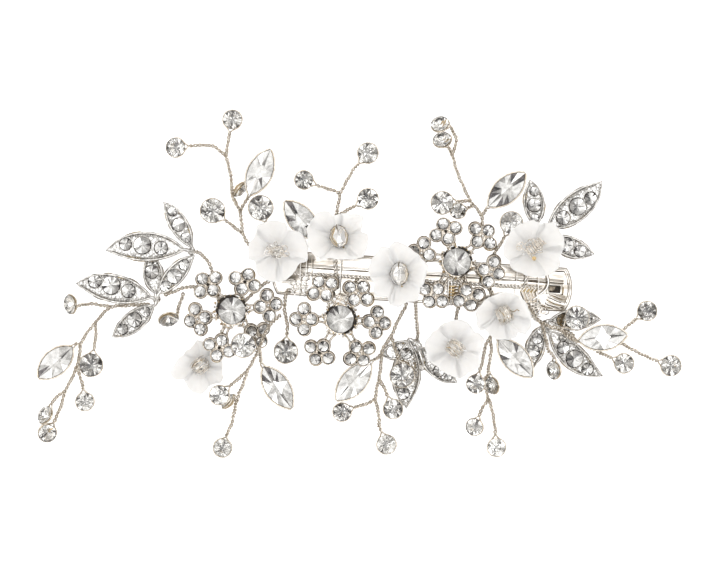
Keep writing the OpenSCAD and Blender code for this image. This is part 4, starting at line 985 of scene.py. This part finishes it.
def end_wires():
    """Loose wire ends that lie on the bare right end of the plate."""
    piece = Piece("wire_ends_right", "wire")
    turn = radians(PLATE_TURN)

    def risen(points):
        """Points in mm of the photograph's plane, with their rise over the plate."""
        p = np.asarray(points, float)
        return level(p[:, :2], plate_z(p[:, 0] * cos(turn) - p[:, 1] * sin(turn)) + p[:, 2])

    def lay(points, look, r):
        piece.add(tube(smooth(risen(points)), r), look)

    # painted shade as blocks under the plaited turns, dark gilt brown above and beige-brown below, then painted beige
    # reflections in the plate
    for corners, look, high in (
            ([(19.6, -2.1), (20.5, -1.2), (23.0, -1.4), (22.3, -2.35)], "gilt_rim", 0.66),
            ([(19.7, -2.2), (22.4, -2.4), (23.1, -4.1), (20.8, -4.4)], "wire_shade", 0.66),
            ([(19.5, -0.45), (24.5, -0.75), (23.8, -1.5), (22.8, -1.2), (19.9, -1.15)], "plate_beige", 0.03),
            ([(25.3, -2.55), (28.7, -2.9), (28.9, -4.4), (26.6, -3.6)], "plate_beige", 0.03),
            ([(25.0, -4.2), (26.4, -4.3), (28.3, -5.2), (27.2, -5.6), (25.0, -5.0)], "plate_beige", 0.03)):
        piece.add(prism(*[risen(level(corners, z)) for z in (high, 0.01)]), look, soft=False)
    # plaited turns that point left
    for k in range(5):
        x, y = 19.84 + 0.72 * k, -2.12 - 0.05 * k
        bend = np.array([(x + 1.0, y + 1.2, 0.2), (x + 0.8, y + 0.95, 0.7), (x, y, 0.82),
                         (x + 0.7, y - 1.75, 0.72), (x + 0.85, y - 2.1, 0.1)])
        lay(np.concatenate([*[even(bend[i:i + 2], 0.2)[:-1] for i in range(4)], bend[-1:]]), "winding_cream", 0.17)
    # one wire that crosses the plate and leaves to the lower left, its shadow beside it
    route = np.array([(24.9, 1.5, 0.9), (25.2, -0.3, 1.0), (24.75, -1.6, 1.05), (23.4, -2.8, 1.0), (22.1, -3.8, 0.9)])
    lay(route, "winding_white", 0.21)
    lay(route + [0.25, 0.05, -0.14], "seam_shadow", 0.04)
    # the long dark reflection and the beige one above it
    lay([(18.6, 0.3, 0.0), (19.8, 0.0, 0.02), (20.9, 0.2, 0.0), (24.6, -0.4, 0.0)], "seam_shadow", 0.15)
    lay([(25.0, -0.42, 0.0), (26.6, -0.46, 0.0), (28.36, -0.5, 0.0)], "seam_shadow", 0.10)
    lay([(21.9, 0.6, 0.0), (23.4, 0.5, 0.0), (24.7, 0.42, 0.0)], "winding_cream", 0.1)
    # a loose fan of wire ends under the slot
    fan = ((25.5, -2.75, 28.6, -3.6), (25.1, -3.2, 28.5, -4.4), (24.9, -3.75, 28.3, -5.1), (24.6, -4.3, 27.8, -5.6),
           (24.0, -4.7, 26.8, -5.75))
    f = np.linspace(0, 1, 6)
    for k, (x0, y0, x1, y1) in enumerate(fan):
        x, y = x0 + (x1 - x0) * f, y0 + (y1 - y0) * f ** 1.2 + 0.10 * np.sin(pi * f * 2 + k)
        lay(np.column_stack([x, y, 0.16 + 0.14 * np.sin(pi * f)]), ("winding_cream", "winding_white")[k % 2], 0.14)
        # a line of painted shadow beside each wire end
        lay(np.column_stack([x, y - 0.24, 0.08 + 0 * f])[:5], ("gilt_rim", "seam_shadow")[k % 2], 0.07)
    # the gilt spring between the petals of the right flower, and the cream knot over the middle one
    coil(piece, (5.9, -0.9, 8.35), (6.15, -3.9, 8.3), 0.95, 5, 0.2, "gilt_back", 0.5)
    coil(piece, (-16.9, -3.0, 8.9), (-15.3, -3.7, 8.9), 0.6, 5, 0.15, "winding_cream", 0.6)
    for count, box, z, size, look, r in (
            (8, (-16.9, -15.2, -4.3, -2.8), lambda x: 9.2, (0.25, 0.5), "winding_cream", 0.1),
            (13, (-26.6, -22.4, -2.6, 0.6), lambda x: plate_z(x) + 1.15, (0.3, 0.6), "winding_white", 0.09),
            (4, (-26.6, -22.6, -2.6, 0.6), lambda x: plate_z(x) + 1.25, (0.25, 0.5), "wire_grey", 0.06),
            (14, (20.4, 24.6, -6.3, -4.6), lambda x: 7.4, (0.3, 0.6), "winding_cream", 0.12),
            (8, (20.8, 24.8, -6.6, -4.8), lambda x: 7.3, (0.3, 0.6), "seam_shadow", 0.09)):
        curls(piece, count, box, z, size, look, r)
    piece.make()


# ---------------------------------------------------------------- set stones
def black_arc(piece, place, r, z, first, sweep, wide):
    """Painted black shade in the gap round a stone: an uneven dark arc that thins out at both ends."""
    a = np.radians(first + np.linspace(0, sweep, max(6, int(sweep / 12))))
    swell = 0.15 + 0.85 * np.sin(pi * np.linspace(0, 1, len(a))) ** 0.5
    piece.add(tube(arc_line(r, a, z), wide * swell * (1 + 0.22 * np.sin(a * 9 + first))), "dark_recess", place)


def cup(piece, place, r, floor, sweep, look="cast_silver"):
    """A bezel round a set stone, with painted shade where the stone meets it: a thin ring and an uneven dark arc."""
    off = place.moved(*polar(0.045, rng.uniform(0, 6.28)))
    bore, out, top = r + 0.12, r + 0.26, CUP_TOP
    ring = [(bore, top - 0.28), (bore, top + 0.02), (bore + 0.04, top + 0.08), (out - 0.05, top + 0.07),
            (out, top - 0.02), (out + 0.02, floor)]
    seam = [(r - 0.03, top - 0.34), (bore + 0.01, top - 0.03), (bore + 0.01, top - 0.36)]
    piece.add(lathe(ring, 20), look, off)
    piece.add(lathe(seam, 20), "seam_shadow", off)
    black_arc(piece, place, r + 0.06, top - 0.02, rng.uniform(-40, 70), rng.uniform(*sweep), 0.138)


# ---------------------------------------------------------------- rhinestone flowers
def petal_outline():
    """Outline round the four settings of a petal, with a waist between neighbours."""
    r = PETAL_R + 0.40
    ray = round_edge(1)(turn_in(72))
    far = np.full(len(ray), 2.05)
    for x, y in PETAL_SET:
        along = ray @ vec(x, y)
        off = along ** 2 - (x * x + y * y - r * r)
        far = np.maximum(far, np.where(off > 0, along + np.sqrt(np.maximum(off, 0)), 0))
    return ray * far[:, None]


def slab(outline, low, high):
    """A plate with a softened top edge over an outline that can be seen from its middle."""
    n, middle, inset = len(outline), outline.mean(axis=0), 0.12
    way = outline - middle
    size = np.linalg.norm(way, axis=1)[:, None]
    rows = [level(middle + way * (size - shrink) / size, z) for shrink, z in
            ((0.0, low), (0.0, high - inset), (inset * 0.45, high - inset * 0.35), (inset * 1.4, high))]
    faces = [*grid_faces(4, n, wrap_cols=True)]
    faces += [[4 * n, 3 * n + k, 3 * n + (k + 1) % n] for k in range(n)]
    faces += [[4 * n + 1, (k + 1) % n, k] for k in range(n)]
    return np.concatenate([*rows, [[*middle, high], [*middle, low]]]), faces


def edge_line(piece, place, outline, first, span, r, look):
    """A painted dark reflection that fades in and out along part of a petal plate's edge."""
    n = len(outline)
    count = max(4, int(n * span))
    line = outline[(int(first * n) + np.arange(count)) % n] * 1.005
    piece.add(tube(level(line, 0.36), 0.02 + r * np.sin(pi * np.linspace(0, 1, count)) ** 0.7, 5), look, place)


def rhinestone_flower(side, middle, petals):
    metal_part = Piece("jewelled_flower_" + side, "cast_metal", "rhinestone_flower_" + side)
    stones = Piece("pave_stones_" + side, "crystal", "petal_stones_" + side)
    centre = Piece("centre_crystal_" + side, "crystal", "centre_stone_" + side)
    at, outline = Place(middle), petal_outline()
    for bearing, far, droop in petals:
        bend = at.spun(bearing).then(Place((PETAL_BEND, 0, 0), about(Y, droop)))
        petal = bend.moved(far - PETAL_BEND, 0, 0)
        metal_part.add(slab(outline, 0.08, 0.42), "petal_silver", petal)
        for x, y in PETAL_SET:
            spot = petal.moved(x, y, FRAME_T)
            cup(metal_part, spot, PETAL_R, -0.6, (100, 240))
            cut_stone(stones, spot, round_edge(PETAL_R - 0.01), PETAL_R * rng.uniform(0.09, 0.13),
                      rng.uniform(0.12, 0.17), "pave", spin=rng.uniform(0, 0.78), table=rng.uniform(0.5, 0.6),
                      band=0.03)
        # grains between the settings, some painted black as shade
        for x, y, r in ((0, 0, 0.34), (1.22, 1.36, 0.2), (1.22, -1.36, 0.2), (-1.22, 1.36, 0.2), (-1.22, -1.36, 0.2)):
            metal_part.add(ball((x, y, FRAME_T - 0.02), r, 0.8), "dark_recess" if rng.random() < 0.3 else "rim_silver",
                           petal)
        # painted dark reflections along two parts of the plate's edge
        first = rng.random()
        edge_line(metal_part, petal, outline, first, rng.uniform(0.22, 0.4), 0.12, "seam_shadow")
        edge_line(metal_part, petal, outline, first + 0.5, rng.uniform(0.12, 0.25), 0.07, "gilt_rim")
        # openwork neck: two bars and the grains on them
        reach = far - PETAL_BEND - 2.2
        for s in (-1, 1):
            line = smooth([(-0.5, s * 0.85, 0.35), (reach * 0.4, s * 0.5, 0.5), (reach + 0.1, s * 0.8, 0.45)], 0.25)
            metal_part.add(tube(line, 0.24), "petal_silver", bend)
            for f in (0.15, 0.5, 0.85):
                metal_part.add(ball((reach * f, s * (0.62 + 0.1 * cos(f * 7)), 0.62), 0.17), "rim_silver", bend)
    # the cup of the centre stone
    r, top = CENTRE_R, FRAME_T + 1.05
    wall = [(0.4, 0.02), (r + 0.2, 0.02), (r + 0.33, 0.35), (r + 0.28, top - 0.5), (r + 0.34, top - 0.2),
            (r + 0.3, top + 0.02), (r + 0.12, top + 0.1), (r + 0.05, top - 0.02), (r + 0.04, top - 0.5), (0.4, 0.5)]
    metal_part.add(lathe(wall, 48, closed=True), "cast_silver", at)
    # painted black shade in the gap round the centre stone
    metal_part.add(lathe([(r - 0.06, top - 0.34), (r + 0.10, top), (r + 0.10, top - 0.34)], 48), "dark_recess", at)
    # uneven arcs of painted black shade over the cup, with silver grains in and between them; in the two main arcs
    # every other grain is painted black too
    arcs = BLACK_ARCS[side]
    for first, last, wide in arcs:
        black_arc(metal_part, at, r + 0.24, top + 0.10, first, last - first, wide * 1.3)
    for k in range(30):
        a = radians(12 * k + rng.uniform(-3, 3))
        black = any(first <= 12 * k - turn <= last for first, last, _ in arcs[:2] for turn in (0, 360))
        if black and k % 2:
            metal_part.add(ball(polar(r + 0.32, a, top + 0.06), 0.2), "dark_recess", at)
        elif black or k % 3:
            metal_part.add(ball(polar(r + 0.38, a, top + (0.28 if black else 0.08)), 0.17),
                           "cast_silver" if k % 4 else "gilt_back", at)
    # cast grains between the cup and each petal
    for bearing, *_ in petals:
        for look in ("cast_silver", "rim_silver", "cast_silver", "wire_champagne", "gilt_back", "cast_silver",
                     "rim_silver", "cast_silver", "wire_champagne"):
            a, d = radians(bearing + rng.uniform(-26, 26)), r + rng.uniform(0.45, 1.0)
            metal_part.add(ball(polar(d, a, rng.uniform(0.35, 0.62)), rng.uniform(0.16, 0.28)), look, at)
    cut_stone(centre, at.moved(0, 0, top), round_edge(r), r * 0.11, 0.34, "centre", spin=rng.uniform(0, 0.78),
              table=0.56)
    for piece in (metal_part, stones, centre):
        piece.make()


# ---------------------------------------------------------------- leaves
def leaf_frame(row):
    base, tip = vec(*row[0]), vec(*row[1])
    way = tip - base
    turn = about(Z, degrees(atan2(way[1], way[0]))) @ about(Y, -degrees(atan2(way[2], hypot(way[0], way[1])))) \
        @ about(X, row[4])
    return Place(base, turn), float(np.linalg.norm(way))


def half_width(x, length, bulge):
    """Half width of a leaf at x, for the arc of a circle over the leaf's length."""
    r = (length * length / 4 + bulge * bulge) / (2 * bulge)
    return np.maximum(np.sqrt(np.maximum(r * r - (x - length / 2) ** 2, 0)) - (r - bulge), 0.02)


def leaf(piece, stones, row):
    place, length = leaf_frame(row)
    left, right, settings = row[2], row[3], row[5]
    n = max(24, int(length / 0.35))
    u = (1 - np.cos(np.linspace(0, pi, n))) / 2
    x = 0.02 + u * (length - 0.04)
    hl, hr = half_width(x, length, left), half_width(x, length, right)
    hook = 0.35 * np.maximum(0, (u - 0.8) / 0.2) ** 2 * (1 if right > left else -1)
    rows = []
    for i in range(n):
        # across a leaf: rim and step, floor with a low swell, step and rim, underside
        squeeze = min(1.0, (hl[i] + hr[i]) / 2 / 0.75)
        rim = [(d * squeeze, 0.62 + (z - 0.62) * (0.5 + 0.5 * squeeze)) for d, z in LEAF_RIM]
        lo, hi = -hr[i] + rim[-1][0], hl[i] - rim[-1][0]
        across = [(hl[i] - d, z) for d, z in rim]
        across += [(hi + (lo - hi) * f, 0.6 + 0.10 * sin(pi * f) + 0.02 * sin(x[i] * 4 + f * 9))
                   for f in (0.25, 0.5, 0.75)]
        across += [(-hr[i] + d, z) for d, z in rim[::-1]]
        across += [(-hr[i] + (hl[i] + hr[i]) * f, 0.08 + 0.2 * sin(pi * f)) for f in (0.08, 0.3, 0.7, 0.92)]
        rows.append([(x[i], y + hook[i], z) for y, z in across])
    cols = len(rows[0])
    quads = grid_faces(n, cols, wrap_cols=True)
    col = quads[:, 0] % cols
    inner = (col >= 4) & (col <= 9)
    ends = [list(range(cols))[::-1], [(n - 1) * cols + k for k in range(cols)]]
    piece.add_groups(place(np.concatenate(rows)),
                     [([*quads[~inner], *ends], "rim_silver"), (quads[inner], "leaf_silver")])
    # milgrain inside the rim
    far, count = np.cumsum(np.concatenate([[0], np.hypot(np.diff(x), np.diff(hl))])), np.arange(n)
    for h, sign in ((hl, 1), (hr, -1)):
        for s in np.arange(0.9, far[-1] - 0.7, 0.50):
            i = np.interp(s, far, count)
            gx, gh, shift = (np.interp(i, count, each) for each in (x, h, hook))
            gy = sign * (gh - 0.74)
            if gh >= 0.9 and all(hypot(gx - sx, gy - sy) >= r + 0.28 for sx, sy, r in settings):
                piece.add(ball((gx, gy + shift, 0.74), 0.185), "rim_silver", place)
    # dark reflections that come and go along the foot of the rim
    for deep, up in ((0.60, 0.66), (-0.02, 0.60)):
        for h, sign in ((hl, 1), (hl, 1), (hr, -1), (hr, -1)):
            a = rng.uniform(0.08, 0.75)
            part = np.linspace(a, a + rng.uniform(0.10, 0.24), 14) * length
            line = np.column_stack([part, sign * (np.interp(part, x, h) - deep) + np.interp(part, x, hook)])
            thick = 0.02 + rng.uniform(0.05, 0.10) * np.sin(np.linspace(0, pi, 14)) ** 0.7
            piece.add(tube(level(line, up), thick, 5), "seam_shadow" if rng.random() < 0.7 else "gilt_rim", place)
    for sx, sy, r in settings:
        spot = place.moved(sx, sy, LEAF_T)
        cup(piece, spot, r, -0.42, (210, 345), "rim_silver")
        for k in range(4):
            prong = polar(r + 0.1, radians(45 + 90 * k + 20 * sin(sx * 3)), CUP_TOP + 0.05)
            piece.add(ball(prong, 0.15), "rim_silver", spot)
        cut_stone(stones, spot, round_edge(r - 0.01), r * 0.11, r * 0.11 + 0.04, "leaf", spin=rng.uniform(0, 0.78),
                  band=0.04)


def leaf_spray(side, leaves, hubs):
    piece = Piece("cast_leaves_" + side, "cast_metal", "leaf_spray_" + side)
    stones = Piece("leaf_crystals_" + side, "crystal", "leaf_stones_" + side)
    for row in leaves:
        leaf(piece, stones, row)
    # the cast stalks run together under a few grains
    for hub in hubs:
        middle = vec(*hub) + [0, 0, 0.3]
        piece.add(ball(middle, 0.85, 0.5, fine=True), "rim_silver")
        for row in leaves:
            foot = vec(*row[0])
            if np.linalg.norm((foot - middle)[:2]) > HUB_REACH:
                continue
            into = leaf_frame(row)[0]((1.6, 0, 0.5))
            line = smooth([middle - unit(into - middle) * 0.5, (middle + foot) / 2 + [0, 0, 0.35],
                           foot + [0, 0, 0.5], into], 0.25)
            thick = np.interp(np.linspace(0, 1, len(line)), [0, 0.4, 1], [0.3, 0.42, 0.22])
            piece.add(tube(line, thick, 8), "rim_silver")
        for k in range(5):
            piece.add(ball(vec(*hub) + polar(0.6, 2 * pi * k / 5 + hub[0], 0.66), 0.22),
                      "seam_shadow" if k == 2 else "rim_silver")
    piece.make()
    stones.make()


# ---------------------------------------------------------------- porcelain flowers
# Each flower seen from above: the bearings of its petals, then its outline as pairs of bearing and reach
PETALS = [
  [95, 18, -60, -118, 172], [120, 48, -20, -90, 192], [146, 80, 5, -76, -138], [100, 36, -38, -105, 166],
  [84, 22, -45, -116, 165], [92, 20, -50, -112, 168], [100, 24, -36, -100, 182]
]
OUTLINES = [
  [2, 6, 18, 6.2, 32, 6.1, 50, 5.6, 62, 4.9, 72, 6, 90, 6.2, 126, 6.6, 138, 5.7, 150, 5.5, 165, 5.9, 178, 5.8,
   196, 5.9, 205, 4.9, 222, 5.8, 238, 6.1, 256, 6.1, 278, 6, 298, 5.5, 317, 5, 332, 5, 346, 6.3],
  [4, 5.8, 12, 4.5, 27, 5.5, 38, 6.2, 64, 4.9, 90, 4.3, 103, 4.2, 110, 5.5, 130, 6.2, 152, 6.2, 171, 6.5, 181, 6.2,
   200, 6.4, 218, 6.5, 231, 6.2, 244, 5, 265, 4.8, 289, 5, 303, 5.8, 322, 6.5, 339, 6.2],
  [3, 5.4, 20, 6, 35, 5.4, 66, 5.4, 93, 6.4, 103, 6.4, 113, 5.6, 126, 6.5, 141, 6.1, 168, 6.3, 182, 6.1, 200, 5.2,
   219, 6.5, 242, 5.2, 255, 6.5, 265, 6.6, 283, 5.8, 303, 6.4, 322, 5, 343, 5.2],
  [1, 6.1, 21, 6.5, 35, 6.5, 56, 6.4, 75, 5.1, 91, 5.7, 111, 5.5, 135, 5.6, 155, 5.6, 172, 5.9, 188, 6.1, 204, 5.4,
   224, 5.8, 246, 5.4, 276, 5.7, 304, 6.1, 326, 6.4, 342, 5.6],
  [2, 5.3, 17, 6.2, 41, 5.1, 56, 5.5, 74, 5.9, 92, 5.6, 111, 5.5, 130, 5.3, 151, 5.6, 170, 6.2, 185, 5.8, 206, 5.8,
   227, 5, 245, 5.3, 266, 5.5, 281, 6.2, 298, 5.5, 324, 6.1, 341, 5.1],
  [17, 5, 36, 4.9, 53, 4.6, 73, 4.6, 100, 4.6, 119, 4.6, 137, 4.9, 161, 5.4, 177, 5.9, 193, 5.6, 209, 6, 213, 4.8,
   224, 4.8, 242, 5.1, 261, 4.9, 280, 5, 295, 5.1, 305, 4.3, 315, 5.8, 340, 5.7, 359, 5.3],
  [0, 4.5, 30, 4.6, 60, 4.6, 85, 5, 98, 5.2, 110, 4.4, 124, 4, 150, 4.3, 170, 5, 192, 6.2, 208, 5.7, 217, 4.3,
   240, 5.1, 253, 5.6, 267, 5.8, 280, 5.3, 292, 4.5, 307, 4.6, 319, 5.4, 330, 5.3, 342, 4.7]
]


def porcelain_flower(number, place, depth):
    piece = Piece("white_flower_%d" % number, "porcelain", "porcelain_flower_%d" % number)
    local = np.random.default_rng(40 + number)
    rows, cols = 22, 37
    grid = np.arange(rows * cols).reshape(rows, cols)
    ring = np.concatenate([grid[0], grid[1:, -1], grid[-1, -2::-1], grid[-2:0:-1, 0]])
    upper, nxt, size = grid_faces(rows, cols), np.roll(ring, -1), rows * cols
    both, sides = np.concatenate([upper, upper[:, ::-1] + size]), np.stack([ring, nxt, nxt + size, ring + size], axis=1)
    u = np.linspace(0.06, 1, rows)[:, None]
    v = np.linspace(-1, 1, cols)[None, :]
    seen = np.array(OUTLINES[number - 1], float).reshape(-1, 2)
    ways = sorted(PETALS[number - 1])
    for k, way in enumerate(ways):
        before, after = (way - ways[k - 1]) % 360, (ways[(k + 1) % 5] - way) % 360
        wave = local.uniform(0, 6.28, 4)
        ridge, valley = local.uniform(-0.55, -0.15), local.uniform(0.15, 0.55)
        if local.random() < 0.5:
            ridge, valley = -ridge, -valley
        sharp, flip = local.uniform(0.35, 0.75), local.uniform(-0.35, 0.35)
        # each petal reaches a little under or over its neighbours
        half = np.where(v < 0, before, after) * 0.5 + local.uniform(5, 9)
        fan = 0.5 + 0.5 * np.minimum(1, u * 1.5) ** 0.7
        turn = np.radians(way + v * half * fan + 2.5 * np.sin(2.2 * u + wave[0]))
        trim = 1 - 0.12 * np.maximum(0, np.abs(v) - 0.84) / 0.16
        reach = np.interp(way + v * half, seen[:, 0], seen[:, 1], period=360) * trim
        r = u * (reach * (1 + 0.008 * np.sin(v * 9 + wave[1]) + 0.008 * np.sin(v * 17 + wave[2])))
        w = u * trim
        share = np.maximum(0, w - 0.16) / 0.84
        z = PETAL_WALL - 0.12 + depth * (0.95 + 0.015 * sin(wave[3])) * (0.50 * share + 0.50 * (1 - (1 - share) ** 2))
        # folded like paper along a ridge and a valley, and lying over the next petal on one side
        tent = [np.minimum((v + 1) / (f + 1), (1 - v) / (1 - f)) for f in (ridge, valley)]
        z = z + 0.07 * v * w ** 1.2 + sharp * w ** 1.3 * (0.55 * tent[0] - 0.65 * tent[1]) \
            + 0.2 * w ** 4 * (1 - v ** 2) * np.sin(v * 5.5 + wave[1])
        # the edge turns up or down a little
        z = z + flip * (np.maximum(0, w - 0.78) / 0.22) ** 1.5 * (1 - v ** 4)
        top = np.stack([r * np.cos(turn), r * np.sin(turn), np.minimum(z, 0.10 + depth + PETAL_WALL)], axis=2)
        thick = (0.30 - 0.16 * u ** 2) * (1 - 0.85 * np.abs(v) ** 8)
        verts = np.concatenate([top, top - thick[:, :, None] * Z]).reshape(-1, 3)
        piece.add_groups(place(verts), [(both, "porcelain"), (sides, "porcelain", False)])
    # the cup's closed bottom
    piece.add(lathe([(0.02, 0.05), (0.9, 0.08), (1.5, 0.35), (1.35, 0.85), (0.6, 0.75), (0.02, 0.72)]), "porcelain",
              place)
    piece.make()


def heart(number, at):
    """What sits in a porcelain flower: a cut bead, fine wire over it, or a knot of fine wire."""
    piece = Piece("flower_heart_%d" % number, "bead", "flower_bead_%d" % number)
    local = np.random.default_rng(70 + number)
    # looks for the facets of a bead's body; the grey foil among them is a painted shade
    body = ("bead_white", "foil", "bead_white", "foil_grey", "bead_white")

    def oblong(length, width, tall, turn, left, right):
        """A faceted oblong bead: clear glass over a bright body, with the looks of its two sides."""
        rows = []
        for x, f in ((-0.5, 0.34), (-0.34, 0.82), (0.0, 1.0), (0.34, 0.82), (0.5, 0.34)):
            a = np.arange(8) * pi / 4 + (0.39 if abs(x) == 0.34 else 0)
            rows.append(np.column_stack([np.full(8, x * length), width / 2 * f * np.cos(a), tall / 2 * f * np.sin(a)]))
        for size, look, ends in ((1.0, "bead_crystal", "bead_crystal"), (0.88, None, "bead_white")):
            groups = {}
            for i in range(0, 32, 8):
                for k in range(8):
                    a, b = i + k, i + (k + 1) % 8
                    for face in ([a, b, b + 8], [a, b + 8, a + 8]):
                        picked = look or {0: left, 3: right}.get(k, body[local.integers(5)])
                        groups.setdefault(picked, []).append(face)
            groups.setdefault(ends, []).extend([list(range(8))[::-1], list(range(32, 40))])
            piece.add_groups(at.spun(turn)(np.concatenate(rows) * size), [(f, look) for look, f in groups.items()],
                             soft=False)

    def hair(points, look, r, turn=0.0):
        piece.add(tube(smooth(points, 0.14), r, 5), look, at.spun(turn))

    if number in (2, 3):
        turn = 98 if number == 2 else 88
        oblong(4.5, 3.9, 2.4, turn, "bead_gold" if number == 2 else "bead_white", "bead_gold")
        # the side hair on one side is in a grey foil look, a painted shade
        for s, look in ((-1, "winding_cream"), (1, "foil_light")):
            hair([(-2.1, s * 0.3, 0.5), (-1.1, s * 1.2, 0.95), (0.1, s * 1.5, 0.9), (1.2, s * 1.1, 0.95)],
                 look, 0.08, turn)
            hair([(-2.2, s * 0.12, 0.9), (0, s * 0.3, 1.3), (2.2, s * 0.1, 0.9)], "foil", 0.08, turn)
        hair([(1.0, 0.1, 1.25), (1.8, 0.25, 1.1), (2.3, 0.1, 0.8)], "seam_shadow", 0.12, turn)
        hair([(-2.3, -0.5, 0.7), (-2.6, -0.7, 0.7)], "gilt_rim", 0.14, turn)
    elif number in (5, 6, 7):
        turn, count, loose = {5: (-38, 9, 4), 6: (-64, 9, 4), 7: (38, 6, 2)}[number]
        oblong(3.4, 3.2, 2.0, turn, "winding_cream", "winding_cream")
        for k in range(count):
            y = (k - (count - 1) / 2) * (2.9 / (count - 1))
            bow, end = 1.15 + 0.2 * cos(y), 1.9 - 0.12 * abs(y)
            hair([(-end, y * 0.82, 0.35), (-0.8, y, bow), (0.8, y * 1.03, bow), (end, y * 0.85, 0.35)],
                 ("winding_cream", "wire_champagne")[k % 2], 0.08, turn)
        for k in range(loose):
            y = local.uniform(-1.2, 1.2)
            hair([(-1.5 + k * 0.5, y, 1.3), (-0.3, y + 0.4, 1.42), (1.1, y - 0.2, 1.3)],
                 ("gilt_rim", "wire_champagne")[k % 2], 0.08, turn)
        if number == 6:
            hair([(-0.3, 1.4, 1.2), (0.1, 2.0, 1.3), (0.0, 2.6, 1.1), (0.5, 3.0, 0.9)], "gilt_rim", 0.09, turn)
    elif number == 4:
        oblong(2.6, 2.6, 1.8, 30, "bead_white", "bead_white")
        coil(piece, at((-1.2, -1.0, 0.9)), at((2.0, 1.8, 0.9)), 0.95, 9, 0.085, "winding_cream", 0.5)
        coil(piece, at((-1.0, -0.9, 0.95)), at((1.8, 1.7, 0.95)), 0.98, 5, 0.085, "wire_champagne", 0.5)
        for k in range(7):
            a = radians(-40 + 22 * k)
            hair([polar(0.2, a, 0.9), polar(1.2, a, 1.3), polar(2.0, a + 0.35, 0.7), polar(1.7, a + 0.35 + 0.25, 0.3)],
                 "winding_cream" if k % 3 else "wire_champagne", 0.09)
        curls(piece, 6, (18.3, 21.0, 6.3, 7.5), lambda x: at((0, 0, 1.0))[2], (0.3, 0.5), "winding_cream", 0.08)
        piece.add(ball((0.2, -1.95, 0.9), 0.46, fine=True), "amber", at)
    else:
        oblong(2.8, 2.6, 1.6, 20, "winding_cream", "winding_cream")
        for k in range(22):
            a, r = local.uniform(0, 6.28), local.uniform(0.3, 2.0)
            x, y, z = polar(r, a, local.uniform(0.5, 1.1)) * (1.1, 0.9, 1)
            w, t = local.uniform(0.35, 0.6), np.linspace(0, 2 * pi * local.uniform(1.1, 1.7), 9)
            tilt = local.uniform(0, 3.1)
            loop = np.column_stack([x + w * np.cos(t), y + w * np.sin(t) * cos(tilt * 0.4),
                                    z + 0.3 * np.sin(t) * sin(tilt) + 0.05 * t])
            hair(loop, ("winding_cream", "wire_grey", "winding_cream", "winding_white")[k % 4], 0.075)
    piece.make()


# ---------------------------------------------------------------- the whole clip
sprigs()
base()
windings()
plate_trim()
end_wires()
for side, (middle, petals) in RHINESTONES.items():
    rhinestone_flower(side, middle, petals)
for side, (leaves, hubs) in LEAVES.items():
    leaf_spray(side, leaves, hubs)
for number, (middle, depth, bearing, angle) in enumerate(FLOWERS, 1):
    place = leaning(middle, bearing, angle)
    porcelain_flower(number, place, depth)
    heart(number, place.moved(0, 0, PETAL_WALL + 2.25))

for name, look in (("barrette_plate", "polished_plate"), ("barrette_clasp", "clasp_steel")):
    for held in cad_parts[name].material_slots:
        held.material = LOOKS[look]

# ---------------------------------------------------------------- studio
floor_mesh = bpy.data.meshes.new("studio_floor")
floor_mesh.from_pydata([(-4, -4, 0), (4, -4, 0), (4, 4, 0), (-4, 4, 0)], [], [(0, 1, 2, 3)])
floor_mesh.materials.append(LOOKS["studio_floor"])
floor = bpy.data.objects.new("studio_floor", floor_mesh)
bpy.context.scene.collection.objects.link(floor)


def studio():
    world = bpy.context.scene.world = bpy.data.worlds.new("soft_studio")
    world.use_nodes = True
    tree = world.node_tree
    tree.nodes.clear()
    where = add_node(tree, "ShaderNodeTexCoord").outputs["Generated"]
    rise = add_node(tree, "ShaderNodeSeparateXYZ", {0: where}).outputs["Z"]
    white, black = (1, 1, 1), (0, 0, 0)
    # a broad white lamp overhead, dimmer and warmer walls
    height = ramp(tree, rise, (0.0, (0.60, 0.575, 0.54)), (0.30, (0.56, 0.54, 0.51)), (0.50, (0.42, 0.405, 0.385)),
                  (0.72, (0.41, 0.40, 0.39)), (0.86, (0.70, 0.70, 0.70)), (0.94, white))
    # flags and windows on the walls
    flags = add_node(tree, "ShaderNodeTexNoise", {"Vector": where, "Scale": 3.4, "Detail": 1.0}).outputs["Fac"]
    cut = ramp(tree, flags, (0.36, (0.10, 0.10, 0.105)), (0.41, (0.5, 0.49, 0.48)), (0.50, white))
    # but not overhead, nor at the foot of the walls
    over = ramp(tree, rise, (0.20, white), (0.34, black), (0.84, black), (0.93, white))
    keep, both = tree.nodes.new("ShaderNodeMix"), tree.nodes.new("ShaderNodeMix")
    keep.data_type = both.data_type = "RGBA"
    both.blend_type = "MULTIPLY"
    fill(keep, {0: over, 6: cut, 7: (*white, 1)})
    fill(both, {0: 1.0, 6: height, 7: keep.outputs[2]})
    light = add_node(tree, "ShaderNodeBackground", {"Color": both.outputs[2], "Strength": 2.4})
    plain = add_node(tree, "ShaderNodeBackground", {"Color": (*white, 1), "Strength": 1.0})
    add_node(tree, "ShaderNodeOutputWorld", {"Surface": for_lens(tree, plain.outputs[0], light.outputs[0])})


studio()
bpy.context.scene.view_settings.view_transform = "Standard"

lens = bpy.data.cameras.new("camera")
lens.lens, lens.sensor_width = 250, 36
lens.clip_start, lens.clip_end = 0.05, 10
camera = bpy.data.objects.new("camera", lens)
bpy.context.scene.collection.objects.link(camera)
camera.location = (-0.0124, -0.0007, 1.005)
bpy.context.scene.camera = camera
